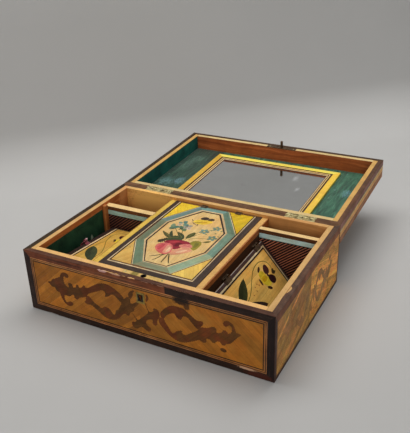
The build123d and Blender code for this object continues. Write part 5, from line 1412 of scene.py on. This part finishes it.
# Blots on the silk: the pale ones are lighter patches of the silk, and the dark, narrow ones are painted shade along
# its creases.
for centre, size, paint, strength in (((-124.0, 164.0, 59.5), (9.0, 12.0, 9.0), (120, 168, 170), 0.55), ((-106.0, 172.0, 59.7), (6.0, 9.0, 9.0), (128, 172, 186), 0.65),
                                      ((-124.0, 226.0, 62.0), (7.0, 15.0, 9.0), (110, 146, 128), 0.4), ((122.0, 219.0, 61.7), (5.0, 9.0, 9.0), (126, 178, 192), 0.6), ((104.0, 262.0, 63.0), (3.0, 12.0, 9.0), (18, 44, 34), 0.5),
                                      ((-100.0, 262.0, 64.0), (3.0, 16.0, 9.0), (8, 24, 18), 0.9), ((104.0, 185.0, 61.0), (2.4, 26.0, 9.0), (14, 36, 28), 0.7), ((112.0, 236.0, 62.0), (2.0, 18.0, 9.0), (16, 42, 34), 0.6),
                                      ((-118.0, 250.0, 63.0), (8.0, 10.0, 9.0), (120, 160, 140), 0.4), ((-131.0, 196.0, 61.0), (3.0, 16.0, 9.0), (12, 34, 26), 0.7), ((130.0, 180.0, 61.0), (4.0, 16.0, 9.0), (96, 150, 136), 0.4)):
    ragged = t.remap(t.noise(t.vmath("MULTIPLY", where, (0.5, 0.16, 0.5)), 1.0, 4.0, 0.7, 0.6), 0.42, 0.56, 0.25, 1.0, True)
    col = t.mix(t.math("MULTIPLY", t.math("MULTIPLY", t.blot(where, centre, size, soft=0.5, rough=2.0, scale=0.6), ragged), strength * 0.8), col, lin(paint))
h = t.math("ADD", t.math("MULTIPLY", thread, 0.5), t.math("MULTIPLY", moire, 0.5))
t.bump(h, 0.0006, 0.9)
M_SILK = t.done(col, t.remap(thread, 0.3, 0.7, 0.42, 0.58), 0.0, 0.35)
t.bsdf.inputs["Sheen Weight"].default_value = 0.2
me.materials.append(M_SILK)
silk = bpy.data.objects.new("lid_silk", me)
bpy.context.scene.collection.objects.link(silk)
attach(silk, "main_lid")
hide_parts("lid_floor_lining")

# ------------------------------------------------------------------ mirror and its frame
s = Sheet("mirror_frame")
fr = LID.up(LID_FLOOR)
# The gold band is one straw in three tints: painted shade on the left rail, painted light on the right and far rails.
GOLD_LEFT_SHADED, GOLD_RIGHT_LIT, GOLD_FAR_LIT = (222, 176, 60), (248, 206, 72), (250, 234, 104)
FRAME_STEPS = [(0.5, "edge"), (8.0, "gold"), (2.6, (54, 22, 8)), (1.4, (240, 202, 126)), (1.3, (40, 18, 10)), (1.4, (230, 198, 146)), (0.8, (76, 46, 26))]
HEIGHTS = [3.3, 3.95, 3.95, 3.75, 3.5, 3.3, 3.1, 2.75]
outer = rect(FX0, FX1, FV0, FV1)
done = 0.0
for k, (w, colour) in enumerate(FRAME_STEPS):
    nxt = inset(outer, w)
    for i in range(4):
        j = (i + 1) % 4
        (ax, ay), (bx, by) = outer[i], outer[j]
        deg = math.degrees(math.atan2(by - ay, bx - ax))
        if colour == "edge":
            c = (120, 96, 30) if i == 0 else (226, 206, 84)
        elif colour == "gold":
            c = GOLD_FAR_LIT if i == 2 else GOLD_LEFT_SHADED if i == 3 else GOLD_RIGHT_LIT
        else:
            c = colour
        low = 2.32 if done + w > 13.81 else 0.0
        s.plate(fr, [outer[i], outer[j], nxt[j], nxt[i]], low, [HEIGHTS[k], HEIGHTS[k], HEIGHTS[k + 1], HEIGHTS[k + 1]], c, deg)
    done += w
    outer = nxt
s.make([M_FRAME], "main_lid", ["mirror_frame_rails"])

t = Tree("mirror_silvering")
where = t.place()
fox = t.noise(where, 0.05, 6.0, 0.7, 0.6)
fine = t.noise(where, 0.8, 4.0, 0.7)
col = t.mix(t.remap(fox, 0.62, 0.75, 0.0, 0.4, True), lin((224, 226, 226)), lin((130, 112, 90)))
# Two soft whitish spots with less metal in them: painted glints on the glass.
painted_glints = t.math("MAXIMUM", t.blot(where, (45.1, 235.5, 64.2), (3.0, 7.0, 6.0), soft=0.9, rough=1.8, scale=0.9), t.blot(where, (58.8, 203.5, 62.9), (2.2, 5.0, 6.0), soft=0.9, rough=1.8, scale=0.9))
veil = t.remap(t.noise(t.vmath("MULTIPLY", where, (0.022, 0.03, 0.02)), 1.0, 3.0, 0.55, 0.8), 0.42, 0.66, 0.0, 0.3, True)
painted_glints = t.math("MULTIPLY", painted_glints, 0.45)
col = t.mix(t.math("MAXIMUM", painted_glints, veil), col, lin((238, 240, 242)))
t.put(t.bsdf.inputs["Metallic"], t.remap(painted_glints, 0.0, 1.0, 1.0, 0.5))
M_MIRROR = t.done(col, t.remap(fine, 0.3, 0.8, 0.03, 0.09), None, 0.5)
o = NODES["mirror_glass"]
o.data.materials.clear()
o.data.materials.append(M_MIRROR)
o.data.polygons.foreach_set("material_index", [0] * len(o.data.polygons))

# ------------------------------------------------------------------ camera, floor, light
cam = bpy.data.cameras.new("camera")
co = bpy.data.objects.new("camera", cam)
bpy.context.scene.collection.objects.link(co)
AZ, EL, ROLL, FOCAL = 0.493833, 0.46183, -0.0316795, 641.513
f = Vector((-math.sin(AZ) * math.cos(EL), math.cos(AZ) * math.cos(EL), -math.sin(EL)))
r = f.cross(Vector((0, 0, 1))).normalized()
u = r.cross(f)
R = r * math.cos(ROLL) + u * math.sin(ROLL)
U = r * -math.sin(ROLL) + u * math.cos(ROLL)
m = Matrix((R, U, -f)).transposed().to_4x4()
m.translation = Vector((0.32335, -0.55201, 0.42013))
co.matrix_world = m
cam.sensor_width = 36.0
cam.sensor_fit = "AUTO"
cam.lens = 36.0 * FOCAL / 433.0
cam.clip_start, cam.clip_end = 0.01, 60.0
bpy.context.scene.camera = co

FLOOR_Z = -0.0004
pts, faces = [], []
BEND, BACKDROP = 0.09, 0.34
prof = [(-3.5, 0.0), (BACKDROP, 0.0)]
for i in range(1, 13):
    a = math.radians(7.5 * i)
    prof.append((BACKDROP + BEND * math.sin(a), BEND * (1 - math.cos(a))))
prof.append((BACKDROP + BEND + 0.1, 2.6))
for px_ in (-4.0, 4.0):
    for py_, pz_ in prof:
        pts.append((px_, py_, pz_ + FLOOR_Z))
n = len(prof)
for i in range(n - 1):
    faces.append((i, n + i, n + i + 1, i + 1))
me = bpy.data.meshes.new("floor")
me.from_pydata(pts, [], faces)
for p in me.polygons:
    p.use_smooth = True
floor = bpy.data.objects.new("floor", me)
floor.rotation_euler = (0, 0, math.radians(49.0))
bpy.context.scene.collection.objects.link(floor)
floor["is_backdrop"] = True
t = Tree("floor_paper")
n1 = t.noise(t.place(), 0.004, 3.0)
col = t.mix(t.remap(n1, 0.3, 0.7, 0.0, 1.0), lin((188, 187, 185)), lin((192, 191, 189)))
# Painted shade: the backdrop paper darkens as it rises, to 0.86 at 250 mm.
col = t.gain(col, t.remap(t.split(t.place())[2], 30.0, 250.0, 1.0, 0.86))
me.materials.append(t.done(col, 0.8, 0.0, 0.1))


def area(name, loc, target, size, power, colour=(1, 1, 1), turn=None):
    l = bpy.data.lights.new(name, "AREA")
    l.shape = "RECTANGLE"
    l.size, l.size_y = size
    l.energy = power
    l.color = colour
    o_ = bpy.data.objects.new(name, l)
    o_.location = loc
    o_.rotation_mode = "QUATERNION"
    o_.rotation_quaternion = turn if turn else (Vector(target) - Vector(loc)).to_track_quat("-Z", "Y")
    bpy.context.scene.collection.objects.link(o_)
    return o_


area("overhead", (-0.083, 0.27, 1.1), (0.0, 0.0, 0), (1.5, 0.44), 9.6, (1.0, 0.995, 0.985), turn=Matrix.Rotation(math.radians(49.0), 3, "Z").to_quaternion())
area("front", (0.72, -2.27, 0.86), (0, 0, 0.05), (2.0, 1.0), 13.5, (1.0, 0.98, 0.95))
world = bpy.data.worlds.new("studio")
world.use_nodes = True
bpy.context.scene.world = world
bg = world.node_tree.nodes["Background"]
bg.inputs[0].default_value = (0.99, 0.995, 1.0, 1)
bg.inputs[1].default_value = 0.32
bpy.context.scene.view_settings.view_transform = "Standard"

lo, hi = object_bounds()
